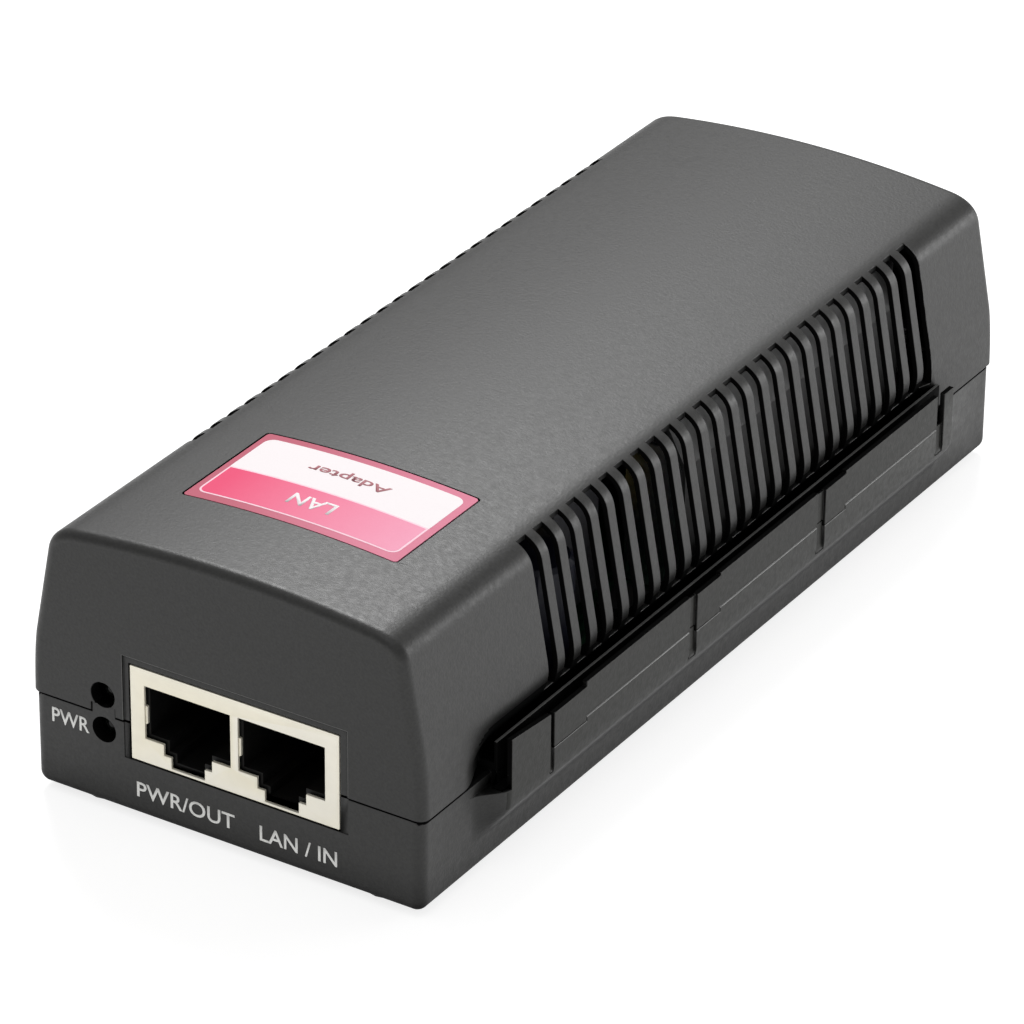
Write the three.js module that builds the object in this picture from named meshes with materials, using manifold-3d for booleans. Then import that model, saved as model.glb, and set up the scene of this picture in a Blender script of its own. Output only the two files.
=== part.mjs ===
// Mains-powered PoE injector: a two-piece ABS case with a ganged pair of RJ45 ports at the front,
// an IEC C14 inlet at the back, and a single board that carries the power supply and the LAN parts.
// Millimetres, +X to the right, +Y to the back, +Z up, origin under the centre of the four feet.

import * as THREE from "three";
import { mergeVertices } from "three/addons/utils/BufferGeometryUtils.js";
import Module from "manifold-3d";

const wasm = await Module();
wasm.setup();

// ---------------------------------------------------------------- driving dimensions

const GAP = 0.3; // clearance kept between neighbouring pieces

const CASE_LENGTH = 144;
const CASE_HALF_WIDTH = 29.25; // of the cover, at the parting line
const CASE_TOP = 39.2; // crown of the cover above the case bottom
const CASE_CORNER_RADIUS = 1.5; // vertical corners in plan
const COVER_BOTTOM = 13.3;
const COVER_WALL = 1.9;
const CROWN_RISE = 1.4;
const WAIST = 28.75; // half-width where the side starts to lean inwards
const WAIST_Z = 21.9;
const SHOULDER_SIDE = 26.45; // half-width where the side ends
const SHOULDER_SIDE_Z = 34.3;
const SHOULDER_TOP = 22; // half-width where the crown starts

const BASE_TOP = COVER_BOTTOM - GAP;
const BASE_INSET = 0.35; // the base stands back from the cover all round
const BASE_DRAFT = 0.05;
const BASE_EDGE_RADIUS = 1.6;
const BASE_WALL = 2;
const BASE_FLOOR = 2;

const FOOT_PROUD = 0.8;
const FOOT_RADIUS = 3.8;
const FOOT_POCKET = 0.5;
const FOOT_X = 21;
const FOOT_Y = 66.3;

const SLOT_COUNT = 26;
const SLOT_PITCH = 3.817;
const SLOT_WIDTH = 2.1;
const SLOT_FIRST_Y = -42.21;
const SLOT_SILL_Z = 17.65;
const SLOT_TOP_X = 23.85; // the slots run over the shoulder to this half-width

const RAIL_OUT = 31.95; // half-width over the side rails
const RAIL_WALL = 0.8;
const RAIL_TOP = 17.95;
const RAIL_FRONT = -56.45;
const RAIL_BACK = 55.45;
const RAIL_START = -46.65; // the cover's share of the rail wall runs from here
const RAIL_END = 51; // to here
const RAIL_START_GAP = 0.8; // between the two shares of the wall, in front
const RAIL_END_GAP = 1.9; // and behind
const RAIL_GROOVE = 0.4; // depth of the upright grooves
const RAIL_GROOVES = [[-14.1, -12.4], [18.5, 20.5]];
const RAIL_GROOVE_BOTTOM = 8.75;
const RAIL_TABS = [[RAIL_START, -39.1], [-12.4, -6.6], [20.5, 25.85]];
const RAIL_TAB_STEP = 0.73; // the tabs reach this far below the rest of the flange
const FLARE_BOTTOM = 4.3; // the base widens to the rail from here
const FLARE_TOP = 9.85;
const FLANGE_BOTTOM = 12.98;
const FLANGE_TOP = 14.1;
const LIP_OUT = 29.75;
const LIP_WALL = 0.5;
const LIP_TOP = 17.15;
const CHANNEL_FLOOR = 11.15;

const BOARD_BOTTOM = 6.45;
const BOARD_TOP = 8.05;
const BOARD_HALF_WIDTH = 24.4;
const BOARD_FRONT = -69.2;
const BOARD_BACK = 68.6;
const SEAT = BOARD_TOP + GAP; // where parts on the board start

const SCREW_X = 21.5;
const SCREW_FRONT_Y = -54;
const SCREW_BACK_Y = 58.5;
const SCREW_SHANK = 1.45;
const SCREW_HEAD = 2.7;
const SCREW_TIP_Z = 22.8;

const JACK_CENTRE_X = 1.32;
const JACK_WIDTH = 31;
const JACK_BOTTOM = SEAT;
const JACK_TOP = 21.5;
const JACK_FACE = -71.7;
const JACK_BACK = -55.7;
const JACK_BEVEL = 1.1; // width of the bevel in the case round the jack
const SHIELD_WALL = 0.4;
const PORT_PITCH = 13.97;
const PORT_WIDTH = 12.8;
const PORT_TOP = 19.15;
const PORT_FLOOR = 11.6;
const LATCH_STEP_WIDTH = 7.2;
const LATCH_STEP_Z = 10.05;
const LATCH_WIDTH = 5;
const LATCH_Z = 8.75;
const CAVITY_INSET = 0.4; // the housing's cavity inside the shield's window
const CAVITY_BACK = -59.5;
const CONTACT_PITCH = 1.02;
const CONTACTS = 8;
const CONTACT_HINGE_Y = -68.6;
const CONTACT_HINGE_Z = 19.55;

const LED_X = -18.2;
const LED_HOLE_RADIUS = 1.8;
const LED_RADIUS = 1.45;
const LED_UPPER_Z = 15.95;
const LED_LOWER_Z = 10.95;
const LED_BACK = -65.5;

const INLET_HALF_WIDTH = 13.7;
const INLET_TOP = 28.65;
const INLET_FRONT = 55;
const INLET_FACE = 71.6;
const INLET_SOCKET_WIDTH = 24.3;
const INLET_SOCKET_HEIGHT = 16.3;
const INLET_SOCKET_FLOOR_Y = 56.8;
const INLET_PIN_SPACING = 7;
const INLET_PIN_OFFSET = 2; // earth pin above the middle, the other two below it

const LABEL_WIDTH = 31.5;
const LABEL_LENGTH = 18.8;
const LABEL_X = -0.1;
const LABEL_Y = -48;
const RATING_HALF_WIDTH = 19;
const RATING_HALF_LENGTH = 42;
const RATING_MARGIN = 0.4; // between the label and its pocket

const BARRIER_FRONT = -2.6;
const BARRIER_BACK = 53.6;
const BARRIER_HALF_WIDTH = 24;
const BARRIER_TOP = 33.8;
const BARRIER_SHEET = 0.5;

// ---------------------------------------------------------------- solids from three.js shapes

function solidOf(geometry) {
  const bare = geometry.clone();
  bare.deleteAttribute("normal");
  bare.deleteAttribute("uv");
  const welded = mergeVertices(bare, 1e-4);
  const index = welded.index.array;
  const triangles = [];
  for (let i = 0; i < index.length; i += 3) {
    const [a, b, c] = [index[i], index[i + 1], index[i + 2]];
    if (a !== b && b !== c && c !== a) triangles.push(a, b, c);
  }
  const mesh = new wasm.Mesh({
    numProp: 3,
    vertProperties: new Float32Array(welded.attributes.position.array),
    triVerts: new Uint32Array(triangles),
  });
  mesh.merge();
  return new wasm.Manifold(mesh);
}

function geometryOf(solid) {
  const mesh = solid.getMesh();
  const geometry = new THREE.BufferGeometry();
  geometry.setAttribute("position", new THREE.BufferAttribute(mesh.vertProperties, 3));
  geometry.setIndex(new THREE.BufferAttribute(mesh.triVerts, 1));
  geometry.computeVertexNormals();
  return geometry;
}

function join(solids) {
  return solids.reduce((whole, solid) => whole.add(solid));
}

function block([x0, x1], [y0, y1], [z0, z1]) {
  const geometry = new THREE.BoxGeometry(x1 - x0, y1 - y0, z1 - z0);
  geometry.translate((x0 + x1) / 2, (y0 + y1) / 2, (z0 + z1) / 2);
  return solidOf(geometry);
}

// A cylinder along "x", "y" or "z" from start to end, centred on the two other coordinates.
function rod(axis, [u, v], [start, end], radius, segments = 16) {
  const geometry = new THREE.CylinderGeometry(radius, radius, end - start, segments);
  geometry.translate(0, (start + end) / 2, 0);
  if (axis === "z") geometry.rotateX(Math.PI / 2);
  if (axis === "x") geometry.rotateZ(-Math.PI / 2);
  const places = { x: [0, u, v], y: [u, 0, v], z: [u, v, 0] };
  geometry.translate(...places[axis]);
  return solidOf(geometry);
}

function outline(points) {
  return new THREE.Shape(points.map(([u, v]) => new THREE.Vector2(u, v)));
}

const EXTRUDE_BASES = {
  x: [[0, 1, 0], [0, 0, 1], [1, 0, 0]],
  y: [[-1, 0, 0], [0, 0, 1], [0, 1, 0]],
  z: [[1, 0, 0], [0, 1, 0], [0, 0, 1]],
};

// An outline extruded along an axis. Its two coordinates are y,z along "x", -x,z along "y" and
// x,y along "z"; alongY below takes plain x,z outlines.
function extrude(axis, shape, [start, end], curveSegments = 4) {
  const settings = { depth: end - start, bevelEnabled: false, curveSegments };
  const geometry = new THREE.ExtrudeGeometry(shape, settings);
  geometry.translate(0, 0, start);
  const basis = EXTRUDE_BASES[axis].map((vector) => new THREE.Vector3(...vector));
  geometry.applyMatrix4(new THREE.Matrix4().makeBasis(...basis));
  return solidOf(geometry);
}

function alongY(points, span) {
  return extrude("y", outline(points.map(([x, z]) => [-x, z])), span);
}

function turned(points, [x, y, z], segments = 20) {
  const geometry = new THREE.LatheGeometry(points.map(([r, h]) => new THREE.Vector2(r, h)), segments);
  geometry.rotateX(Math.PI / 2);
  geometry.translate(x, y, z);
  return solidOf(geometry);
}

function mirrored(solid) {
  return solid.mirror([1, 0, 0]);
}

function bothSides(solid) {
  return join([solid, mirrored(solid)]);
}

// A rectangle with rounded corners, centred, for extruding along "z".
function roundedRectangle(halfWidth, halfLength, radius) {
  const shape = new THREE.Shape();
  shape.moveTo(-halfWidth + radius, -halfLength);
  shape.lineTo(halfWidth - radius, -halfLength);
  shape.quadraticCurveTo(halfWidth, -halfLength, halfWidth, -halfLength + radius);
  shape.lineTo(halfWidth, halfLength - radius);
  shape.quadraticCurveTo(halfWidth, halfLength, halfWidth - radius, halfLength);
  shape.lineTo(-halfWidth + radius, halfLength);
  shape.quadraticCurveTo(-halfWidth, halfLength, -halfWidth, halfLength - radius);
  shape.lineTo(-halfWidth, -halfLength + radius);
  shape.quadraticCurveTo(-halfWidth, -halfLength, -halfWidth + radius, -halfLength);
  return shape;
}

// A block whose front face is wider than its back face, as a bevelled recess is.
function bevelledRecess([x0, x1], [z0, z1], [front, back], bevel) {
  const geometry = new THREE.BoxGeometry(1, 1, 1);
  const position = geometry.attributes.position;
  for (let i = 0; i < position.count; i += 1) {
    const grow = position.getY(i) < 0 ? bevel : 0;
    const x = position.getX(i) < 0 ? x0 - grow : x1 + grow;
    const z = position.getZ(i) < 0 ? z0 : z1 + grow;
    position.setXYZ(i, x, position.getY(i) < 0 ? front : back, z);
  }
  return solidOf(geometry);
}

// ---------------------------------------------------------------- materials

const palette = {
  case: [0x3a3a39, 0.55, 0],
  labelPink: [0xd8507f, 0.4, 0],
  labelSilver: [0xb9bbbd, 0.45, 0],
  rubber: [0x1b1b1b, 0.9, 0],
  steel: [0x9a9c9f, 0.35, 1],
  shield: [0xe4dcc9, 0.35, 0.8],
  jackPlastic: [0x101010, 0.6, 0],
  gold: [0xd0a648, 0.3, 1],
  board: [0x1f5a36, 0.6, 0],
  ledBody: [0xcfd6cf, 0.2, 0],
  inletPlastic: [0x161616, 0.5, 0],
  glass: [0xcfdcdd, 0.1, 0],
  blueEpoxy: [0x2e5aa8, 0.5, 0],
  greenEpoxy: [0x2f6b43, 0.5, 0],
  yellowBox: [0xd9b83a, 0.5, 0],
  ferrite: [0x3c3d40, 0.7, 0],
  copper: [0xb8692f, 0.35, 1],
  tape: [0xd6c24e, 0.5, 0],
  epoxyBlack: [0x151515, 0.6, 0],
  capSleeve: [0x1c2440, 0.4, 0],
  aluminium: [0xb4b7ba, 0.4, 1],
  sheet: [0x3a3b3d, 0.7, 0],
};

const injector = new THREE.Group();
const caseGroup = new THREE.Group();
caseGroup.position.z = FOOT_PROUD;
injector.add(caseGroup);

function place(name, solid, look) {
  const [color, roughness, metalness] = palette[look];
  const material = new THREE.MeshStandardMaterial({ color, roughness, metalness });
  const mesh = new THREE.Mesh(geometryOf(solid), material);
  mesh.name = name;
  caseGroup.add(mesh);
}

// ---------------------------------------------------------------- case

// The cover's cross-section, or with an inset the outline of its inner space.
function coverOutline(inset) {
  const foot = CASE_HALF_WIDTH - inset;
  const waist = WAIST - inset;
  const side = SHOULDER_SIDE - inset;
  const sideZ = SHOULDER_SIDE_Z - inset / 2;
  const shoulder = SHOULDER_TOP - inset / 2;
  const shoulderZ = CASE_TOP - CROWN_RISE - inset;
  const bendZ = WAIST_Z - 3; // the control points of the two bends
  const cornerX = side - 0.55;
  const cornerZ = shoulderZ - 0.6;
  const shape = new THREE.Shape();
  shape.moveTo(foot, COVER_BOTTOM);
  shape.quadraticCurveTo(foot - 0.05, bendZ, waist, WAIST_Z);
  shape.lineTo(side, sideZ);
  shape.quadraticCurveTo(cornerX, cornerZ, shoulder, shoulderZ);
  shape.quadraticCurveTo(0, shoulderZ + 2 * CROWN_RISE, -shoulder, shoulderZ);
  shape.quadraticCurveTo(-cornerX, cornerZ, -side, sideZ);
  shape.lineTo(-waist, WAIST_Z);
  shape.quadraticCurveTo(-foot + 0.05, bendZ, -foot, COVER_BOTTOM);
  return shape;
}

function crownZ(x) {
  return CASE_TOP - CROWN_RISE * (x / SHOULDER_TOP) ** 2;
}

// A slab that follows the crown between two offsets from the cover's top.
function crownSlab(x0, x1, y0, y1, low, high) {
  const steps = 6;
  const across = Array.from({ length: steps + 1 }, (_, i) => x0 + ((x1 - x0) * i) / steps);
  const upper = across.map((x) => [x, crownZ(x) + high]);
  const lower = across.map((x) => [x, crownZ(x) + low]).reverse();
  return alongY([...upper, ...lower], [y0, y1]);
}

const caseHalf = CASE_LENGTH / 2;
const screwSpots = [
  ["front_left", -SCREW_X, SCREW_FRONT_Y],
  ["front_right", SCREW_X, SCREW_FRONT_Y],
  ["back_left", -SCREW_X, SCREW_BACK_Y],
  ["back_right", SCREW_X, SCREW_BACK_Y],
];
const screwHole = SCREW_SHANK + GAP;
const jackLeft = JACK_CENTRE_X - JACK_WIDTH / 2;
const jackRight = JACK_CENTRE_X + JACK_WIDTH / 2;
const portCentres = [JACK_CENTRE_X - PORT_PITCH / 2, JACK_CENTRE_X + PORT_PITCH / 2];

const jackOpening = join([
  block(
    [jackLeft - GAP, jackRight + GAP],
    [-caseHalf - 1, JACK_BACK],
    [JACK_BOTTOM - GAP, JACK_TOP + GAP],
  ),
  bevelledRecess(
    [jackLeft - GAP, jackRight + GAP],
    [JACK_BOTTOM - GAP, JACK_TOP + GAP],
    [-caseHalf - 0.3, -caseHalf + JACK_BEVEL],
    JACK_BEVEL,
  ),
]);
const inletOpening = block(
  [-INLET_HALF_WIDTH - GAP, INLET_HALF_WIDTH + GAP],
  [INLET_FRONT - 1, caseHalf + 1],
  [SEAT - GAP, INLET_TOP + GAP],
);

function topCover() {
  const plan = extrude(
    "z",
    roundedRectangle(RAIL_OUT, caseHalf, CASE_CORNER_RADIUS),
    [COVER_BOTTOM - 5, CASE_TOP + 5],
    3,
  );
  const corners = extrude(
    "z",
    roundedRectangle(CASE_HALF_WIDTH, caseHalf, CASE_CORNER_RADIUS),
    [COVER_BOTTOM - 5, CASE_TOP + 5],
    3,
  );
  let cover = extrude("y", coverOutline(0), [-caseHalf, caseHalf]).intersect(corners);
  const scoop = block(
    [CASE_HALF_WIDTH - 1, RAIL_OUT],
    [RAIL_FRONT - 1, RAIL_BACK],
    [FLANGE_TOP, SLOT_SILL_Z - 0.4],
  );
  cover = cover.subtract(bothSides(scoop));

  const lip = [
    [CASE_HALF_WIDTH - 1.5, FLANGE_BOTTOM],
    [LIP_OUT, FLANGE_BOTTOM],
    [LIP_OUT, LIP_TOP],
    [LIP_OUT - LIP_WALL, LIP_TOP],
    [LIP_OUT - LIP_WALL, FLANGE_TOP],
    [CASE_HALF_WIDTH - 1.5, FLANGE_TOP],
  ];
  const flange = [
    [LIP_OUT - LIP_WALL, FLANGE_BOTTOM],
    [RAIL_OUT, FLANGE_BOTTOM],
    [RAIL_OUT, RAIL_TOP],
    [RAIL_OUT - RAIL_WALL, RAIL_TOP],
    [RAIL_OUT - RAIL_WALL, FLANGE_TOP],
    [LIP_OUT - LIP_WALL, FLANGE_TOP],
  ];
  const tabs = RAIL_TABS.map((span) => {
    return block([LIP_OUT, RAIL_OUT], span, [FLANGE_BOTTOM - RAIL_TAB_STEP, FLANGE_TOP]);
  });
  const side = join([
    alongY(lip, [RAIL_FRONT, RAIL_BACK]),
    alongY(flange, [RAIL_START, RAIL_END]),
    ...tabs,
  ]);
  const grooves = RAIL_GROOVES.map((span) => {
    return block([RAIL_OUT - RAIL_GROOVE, RAIL_OUT + 1], span, [RAIL_GROOVE_BOTTOM, RAIL_TOP + 1]);
  });
  cover = join([cover, bothSides(side.subtract(join(grooves)))]).intersect(plan);

  const inner = extrude("y", coverOutline(COVER_WALL), [-caseHalf + COVER_WALL, caseHalf - COVER_WALL]);
  const innerFoot = block(
    [-CASE_HALF_WIDTH + COVER_WALL, CASE_HALF_WIDTH - COVER_WALL],
    [-caseHalf + COVER_WALL, caseHalf - COVER_WALL],
    [FLANGE_BOTTOM - 2, COVER_BOTTOM + 0.1],
  );
  cover = cover.subtract(inner).subtract(innerFoot);

  const slotOutline = [
    [SHOULDER_TOP, SLOT_SILL_Z],
    [RAIL_OUT + 1, SLOT_SILL_Z],
    [RAIL_OUT + 1, CASE_TOP + 1],
    [SLOT_TOP_X, CASE_TOP + 1],
    [SLOT_TOP_X, SHOULDER_SIDE_Z + 0.6],
    [SHOULDER_TOP, SHOULDER_SIDE_Z - 0.9],
  ];
  for (let i = 0; i < SLOT_COUNT; i += 1) {
    const middle = SLOT_FIRST_Y + i * SLOT_PITCH;
    const span = [middle - SLOT_WIDTH / 2, middle + SLOT_WIDTH / 2];
    cover = cover.subtract(bothSides(alongY(slotOutline, span)));
  }

  const bosses = screwSpots.map(([, x, y]) => rod("z", [x, y], [SEAT, SHOULDER_SIDE_Z - 0.5], 3.2, 12));
  const pilots = screwSpots.map(([, x, y]) => rod("z", [x, y], [SEAT - 1, SCREW_TIP_Z + GAP], screwHole, 10));
  cover = join([cover, ...bosses]).subtract(join(pilots));

  const ledNotch = join([
    rod("y", [LED_X, LED_UPPER_Z], [-caseHalf - 1, -caseHalf + COVER_WALL + 1], LED_HOLE_RADIUS, 20),
    block(
      [LED_X - LED_HOLE_RADIUS, LED_X + LED_HOLE_RADIUS],
      [-caseHalf - 1, -caseHalf + COVER_WALL + 1],
      [COVER_BOTTOM - 1, LED_UPPER_Z],
    ),
  ]);
  const labelPocket = crownSlab(
    LABEL_X - LABEL_WIDTH / 2 - GAP,
    LABEL_X + LABEL_WIDTH / 2 + GAP,
    LABEL_Y - LABEL_LENGTH / 2 - GAP,
    LABEL_Y + LABEL_LENGTH / 2 + GAP,
    -0.45,
    2,
  );
  return cover.subtract(join([ledNotch, jackOpening, inletOpening, labelPocket]));
}

function bottomCase() {
  const top = CASE_HALF_WIDTH - BASE_INSET;
  const foot = top - BASE_DRAFT;
  const bend = BASE_EDGE_RADIUS;
  const section = new THREE.Shape();
  section.moveTo(top, BASE_TOP);
  section.lineTo(foot, bend);
  section.quadraticCurveTo(foot, 0, foot - bend, 0);
  section.lineTo(-foot + bend, 0);
  section.quadraticCurveTo(-foot, 0, -foot, bend);
  section.lineTo(-top, BASE_TOP);
  section.lineTo(top, BASE_TOP);
  const endFace = caseHalf - BASE_INSET / 2;
  const corners = extrude(
    "z",
    roundedRectangle(top, endFace, CASE_CORNER_RADIUS),
    [-1, BASE_TOP + 1],
    3,
  );
  let base = extrude("y", section, [-endFace, endFace], 3).intersect(corners);

  const railSection = [
    [top - 1, FLARE_BOTTOM],
    [top, FLARE_BOTTOM],
    [RAIL_OUT, FLARE_TOP],
    [RAIL_OUT, FLANGE_BOTTOM - GAP],
    [top - 1, FLANGE_BOTTOM - GAP],
  ];
  const frontEnd = RAIL_START - RAIL_START_GAP;
  const backStart = RAIL_END + RAIL_END_GAP;
  const frontWall = extrude(
    "x",
    outline([
      [RAIL_FRONT, FLARE_TOP],
      [frontEnd, FLARE_TOP],
      [frontEnd, RAIL_TOP - 0.6],
      [RAIL_FRONT, RAIL_TOP + 0.3],
    ]),
    [RAIL_OUT - RAIL_WALL, RAIL_OUT],
  );
  const backWall = block(
    [RAIL_OUT - RAIL_WALL, RAIL_OUT],
    [backStart, RAIL_BACK],
    [FLARE_TOP, RAIL_TOP - 0.5],
  );
  const tabClearance = RAIL_TABS.map(([start, end]) => {
    return block(
      [LIP_OUT - GAP, RAIL_OUT + 1],
      [start - GAP, end + GAP],
      [FLANGE_BOTTOM - RAIL_TAB_STEP - GAP, FLANGE_TOP],
    );
  });
  const grooveSpans = [[frontEnd, RAIL_START], ...RAIL_GROOVES, [RAIL_END, backStart]];
  const grooves = grooveSpans.map((span) => {
    return block([RAIL_OUT - RAIL_GROOVE, RAIL_OUT + 1], span, [RAIL_GROOVE_BOTTOM, RAIL_TOP + 1]);
  });
  const frontFloor = block(
    [top, RAIL_OUT - RAIL_WALL],
    [RAIL_FRONT - 1, frontEnd],
    [CHANNEL_FLOOR, FLANGE_TOP],
  );
  const rail = join([alongY(railSection, [RAIL_FRONT, RAIL_BACK]), frontWall, backWall])
    .subtract(join([...tabClearance, ...grooves, frontFloor]));
  const flangeClearance = block(
    [CASE_HALF_WIDTH - 1.5 - GAP, RAIL_OUT - RAIL_WALL - GAP],
    [RAIL_FRONT - GAP, RAIL_BACK + GAP],
    [FLANGE_BOTTOM - GAP, RAIL_TOP],
  );
  base = join([base, bothSides(rail)]).subtract(bothSides(flangeClearance));

  const innerX = top - BASE_WALL;
  const innerY = endFace - BASE_WALL;
  base = base.subtract(block([-innerX, innerX], [-innerY, innerY], [BASE_FLOOR, BASE_TOP + 6]));

  const tongueSpan = [RAIL_START + 0.6, RAIL_END - 1];
  const tongue = block([innerX - 1.2, innerX + 0.2], tongueSpan, [9, FLANGE_BOTTOM + 2.2]);
  const tongueRoot = block([innerX - 1.2, innerX + 0.6], tongueSpan, [8, FLANGE_BOTTOM - GAP]);
  base = join([base, bothSides(tongue.add(tongueRoot))]);

  for (const [, x, y] of screwSpots) {
    base = base.add(rod("z", [x, y], [BASE_FLOOR - 1, BOARD_BOTTOM - GAP], 4.4, 12));
    base = base.subtract(rod("z", [x, y], [-1, 2.4], SCREW_HEAD + GAP, 12));
    base = base.subtract(rod("z", [x, y], [-1, BOARD_BOTTOM + 1], screwHole, 10));
  }
  for (const [x, y] of footSpots()) {
    base = base.subtract(rod("z", [x, y], [-1, FOOT_POCKET], FOOT_RADIUS + GAP, 16));
  }
  const pocketX = RATING_HALF_WIDTH + RATING_MARGIN;
  const pocketY = RATING_HALF_LENGTH + RATING_MARGIN;
  base = base.subtract(block([-pocketX, pocketX], [-pocketY, pocketY], [-1, 0.6]));

  const ledTab = block(
    [LED_X - LED_HOLE_RADIUS + GAP, LED_X + LED_HOLE_RADIUS - GAP],
    [-endFace, -endFace + BASE_WALL],
    [BASE_TOP - 0.5, LED_UPPER_Z - LED_HOLE_RADIUS + 0.8],
  );
  const ledHoles = [LED_UPPER_Z, LED_LOWER_Z].map((z) => {
    return rod("y", [LED_X, z], [-caseHalf - 1, -caseHalf + BASE_WALL + 1], LED_HOLE_RADIUS, 20);
  });
  base = base.add(ledTab).subtract(join(ledHoles));
  return base.subtract(join([jackOpening, inletOpening]));
}

function footSpots() {
  return [[-FOOT_X, -FOOT_Y], [FOOT_X, -FOOT_Y], [-FOOT_X, FOOT_Y], [FOOT_X, FOOT_Y]];
}

place("top_cover", topCover(), "case");
place("bottom_case", bottomCase(), "case");
place(
  "top_label",
  crownSlab(
    LABEL_X - LABEL_WIDTH / 2,
    LABEL_X + LABEL_WIDTH / 2,
    LABEL_Y - LABEL_LENGTH / 2,
    LABEL_Y + LABEL_LENGTH / 2,
    -0.15,
    0.05,
  ),
  "labelPink",
);
const ratingLabel = block(
  [-RATING_HALF_WIDTH, RATING_HALF_WIDTH],
  [-RATING_HALF_LENGTH, RATING_HALF_LENGTH],
  [0.05, 0.3],
);
place("rating_label", ratingLabel, "labelSilver");

const footNames = ["foot_front_left", "foot_front_right", "foot_back_left", "foot_back_right"];
footSpots().forEach(([x, y], i) => {
  const pad = rod("z", [x, y], [-FOOT_PROUD, FOOT_POCKET - GAP], FOOT_RADIUS, 16);
  place(footNames[i], pad, "rubber");
});

function caseScrew(x, y) {
  const shank = rod("z", [x, y], [1.5, SCREW_TIP_Z], SCREW_SHANK, 10);
  const head = rod("z", [x, y], [0.4, 2.1], SCREW_HEAD, 12);
  const slotA = block([x - 1.6, x + 1.6], [y - 0.35, y + 0.35], [0, 1.1]);
  const slotB = block([x - 0.35, x + 0.35], [y - 1.6, y + 1.6], [0, 1.1]);
  return shank.add(head).subtract(slotA.add(slotB));
}

for (const [spot, x, y] of screwSpots) {
  place(`case_screw_${spot}`, caseScrew(x, y), "steel");
}

// ---------------------------------------------------------------- board and jack

const boardHoles = screwSpots.map(([, x, y]) => rod("z", [x, y], [0, 10], 3.2 + GAP, 12));
const board = block(
  [-BOARD_HALF_WIDTH, BOARD_HALF_WIDTH],
  [BOARD_FRONT, BOARD_BACK],
  [BOARD_BOTTOM, BOARD_TOP],
).subtract(join(boardHoles));
place("circuit_board", board, "board");

// The stepped, tab-down RJ45 window around a port's centre, smaller all round by the inset.
function portOutline(centre, inset) {
  const half = PORT_WIDTH / 2 - inset;
  const step = LATCH_STEP_WIDTH / 2 - inset;
  const latch = LATCH_WIDTH / 2 - inset;
  const right = [
    [latch, LATCH_Z + inset],
    [latch, LATCH_STEP_Z + inset],
    [step, LATCH_STEP_Z + inset],
    [step, PORT_FLOOR + inset],
    [half, PORT_FLOOR + inset],
    [half, PORT_TOP - inset],
  ];
  const left = right.map(([x, z]) => [-x, z]).reverse();
  return [...right, ...left].map(([x, z]) => [centre + x, z]);
}

function jackShield() {
  const shell = block([jackLeft, jackRight], [JACK_FACE, JACK_BACK], [JACK_BOTTOM, JACK_TOP]);
  const hollow = block(
    [jackLeft + SHIELD_WALL, jackRight - SHIELD_WALL],
    [JACK_FACE + SHIELD_WALL, JACK_BACK + 1],
    [JACK_BOTTOM - 1, JACK_TOP - SHIELD_WALL],
  );
  const windows = portCentres.map((x) => alongY(portOutline(x, 0), [JACK_FACE - 1, JACK_FACE + 1]));
  return shell.subtract(join([hollow, ...windows]));
}

function jackHousing() {
  const inside = SHIELD_WALL + GAP;
  const body = block(
    [jackLeft + inside, jackRight - inside],
    [JACK_FACE + inside, CAVITY_BACK + 1.5],
    [JACK_BOTTOM, JACK_TOP - inside],
  );
  const cuts = portCentres.flatMap((x) => [
    alongY(portOutline(x, CAVITY_INSET), [JACK_FACE, CAVITY_BACK]),
    block([x - 4.6, x + 4.6], [CONTACT_HINGE_Y - 1.3, CAVITY_BACK], [PORT_TOP - 1, CONTACT_HINGE_Z + 0.6]),
  ]);
  return body.subtract(join(cuts));
}

// Eight spring wires on one comb: they slope down and back from the comb, and a plug lifts them.
function portContacts(centre) {
  const comb = block(
    [centre - 4.2, centre + 4.2],
    [CONTACT_HINGE_Y - 0.4, CONTACT_HINGE_Y + 0.4],
    [CONTACT_HINGE_Z - 0.3, CONTACT_HINGE_Z + 0.3],
  );
  const run = [[0, 0.15], [1, 0], [5.6, -3.1], [7.2, -4.1], [7.9, -4.1]];
  const thickness = 0.36;
  const upper = run.map(([dy, dz]) => [CONTACT_HINGE_Y + dy, CONTACT_HINGE_Z + dz]);
  const lower = upper.map(([y, z]) => [y, z - thickness]).reverse();
  const first = centre - (CONTACT_PITCH * (CONTACTS - 1)) / 2;
  const wires = Array.from({ length: CONTACTS }, (_, i) => {
    const x = first + i * CONTACT_PITCH;
    return extrude("x", outline([...lower, ...upper]), [x - 0.2, x + 0.2]);
  });
  return join([comb, ...wires]);
}

// The moulding behind a port that holds the fixed ends of the contacts and their eight pins.
function pinBlock(centre) {
  const body = block(
    [centre - 5, centre + 5],
    [CAVITY_BACK + 1.8, JACK_BACK - 0.4],
    [SEAT + 1, PORT_TOP - 0.3],
  );
  const pins = Array.from({ length: CONTACTS }, (_, i) => {
    const x = centre + (i - (CONTACTS - 1) / 2) * CONTACT_PITCH;
    const y = i % 2 ? CAVITY_BACK + 2.2 : JACK_BACK - 0.8;
    return block([x - 0.22, x + 0.22], [y - 0.22, y + 0.22], [SEAT, SEAT + 2]);
  });
  return join([body, ...pins]);
}

place("jack_shield", jackShield(), "shield");
place("jack_housing", jackHousing(), "jackPlastic");
["out_port", "in_port"].forEach((port, i) => {
  place(`${port}_contacts`, portContacts(portCentres[i]), "gold");
  place(`${port}_pin_block`, pinBlock(portCentres[i]), "jackPlastic");
});

// ---------------------------------------------------------------- status lights

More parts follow.
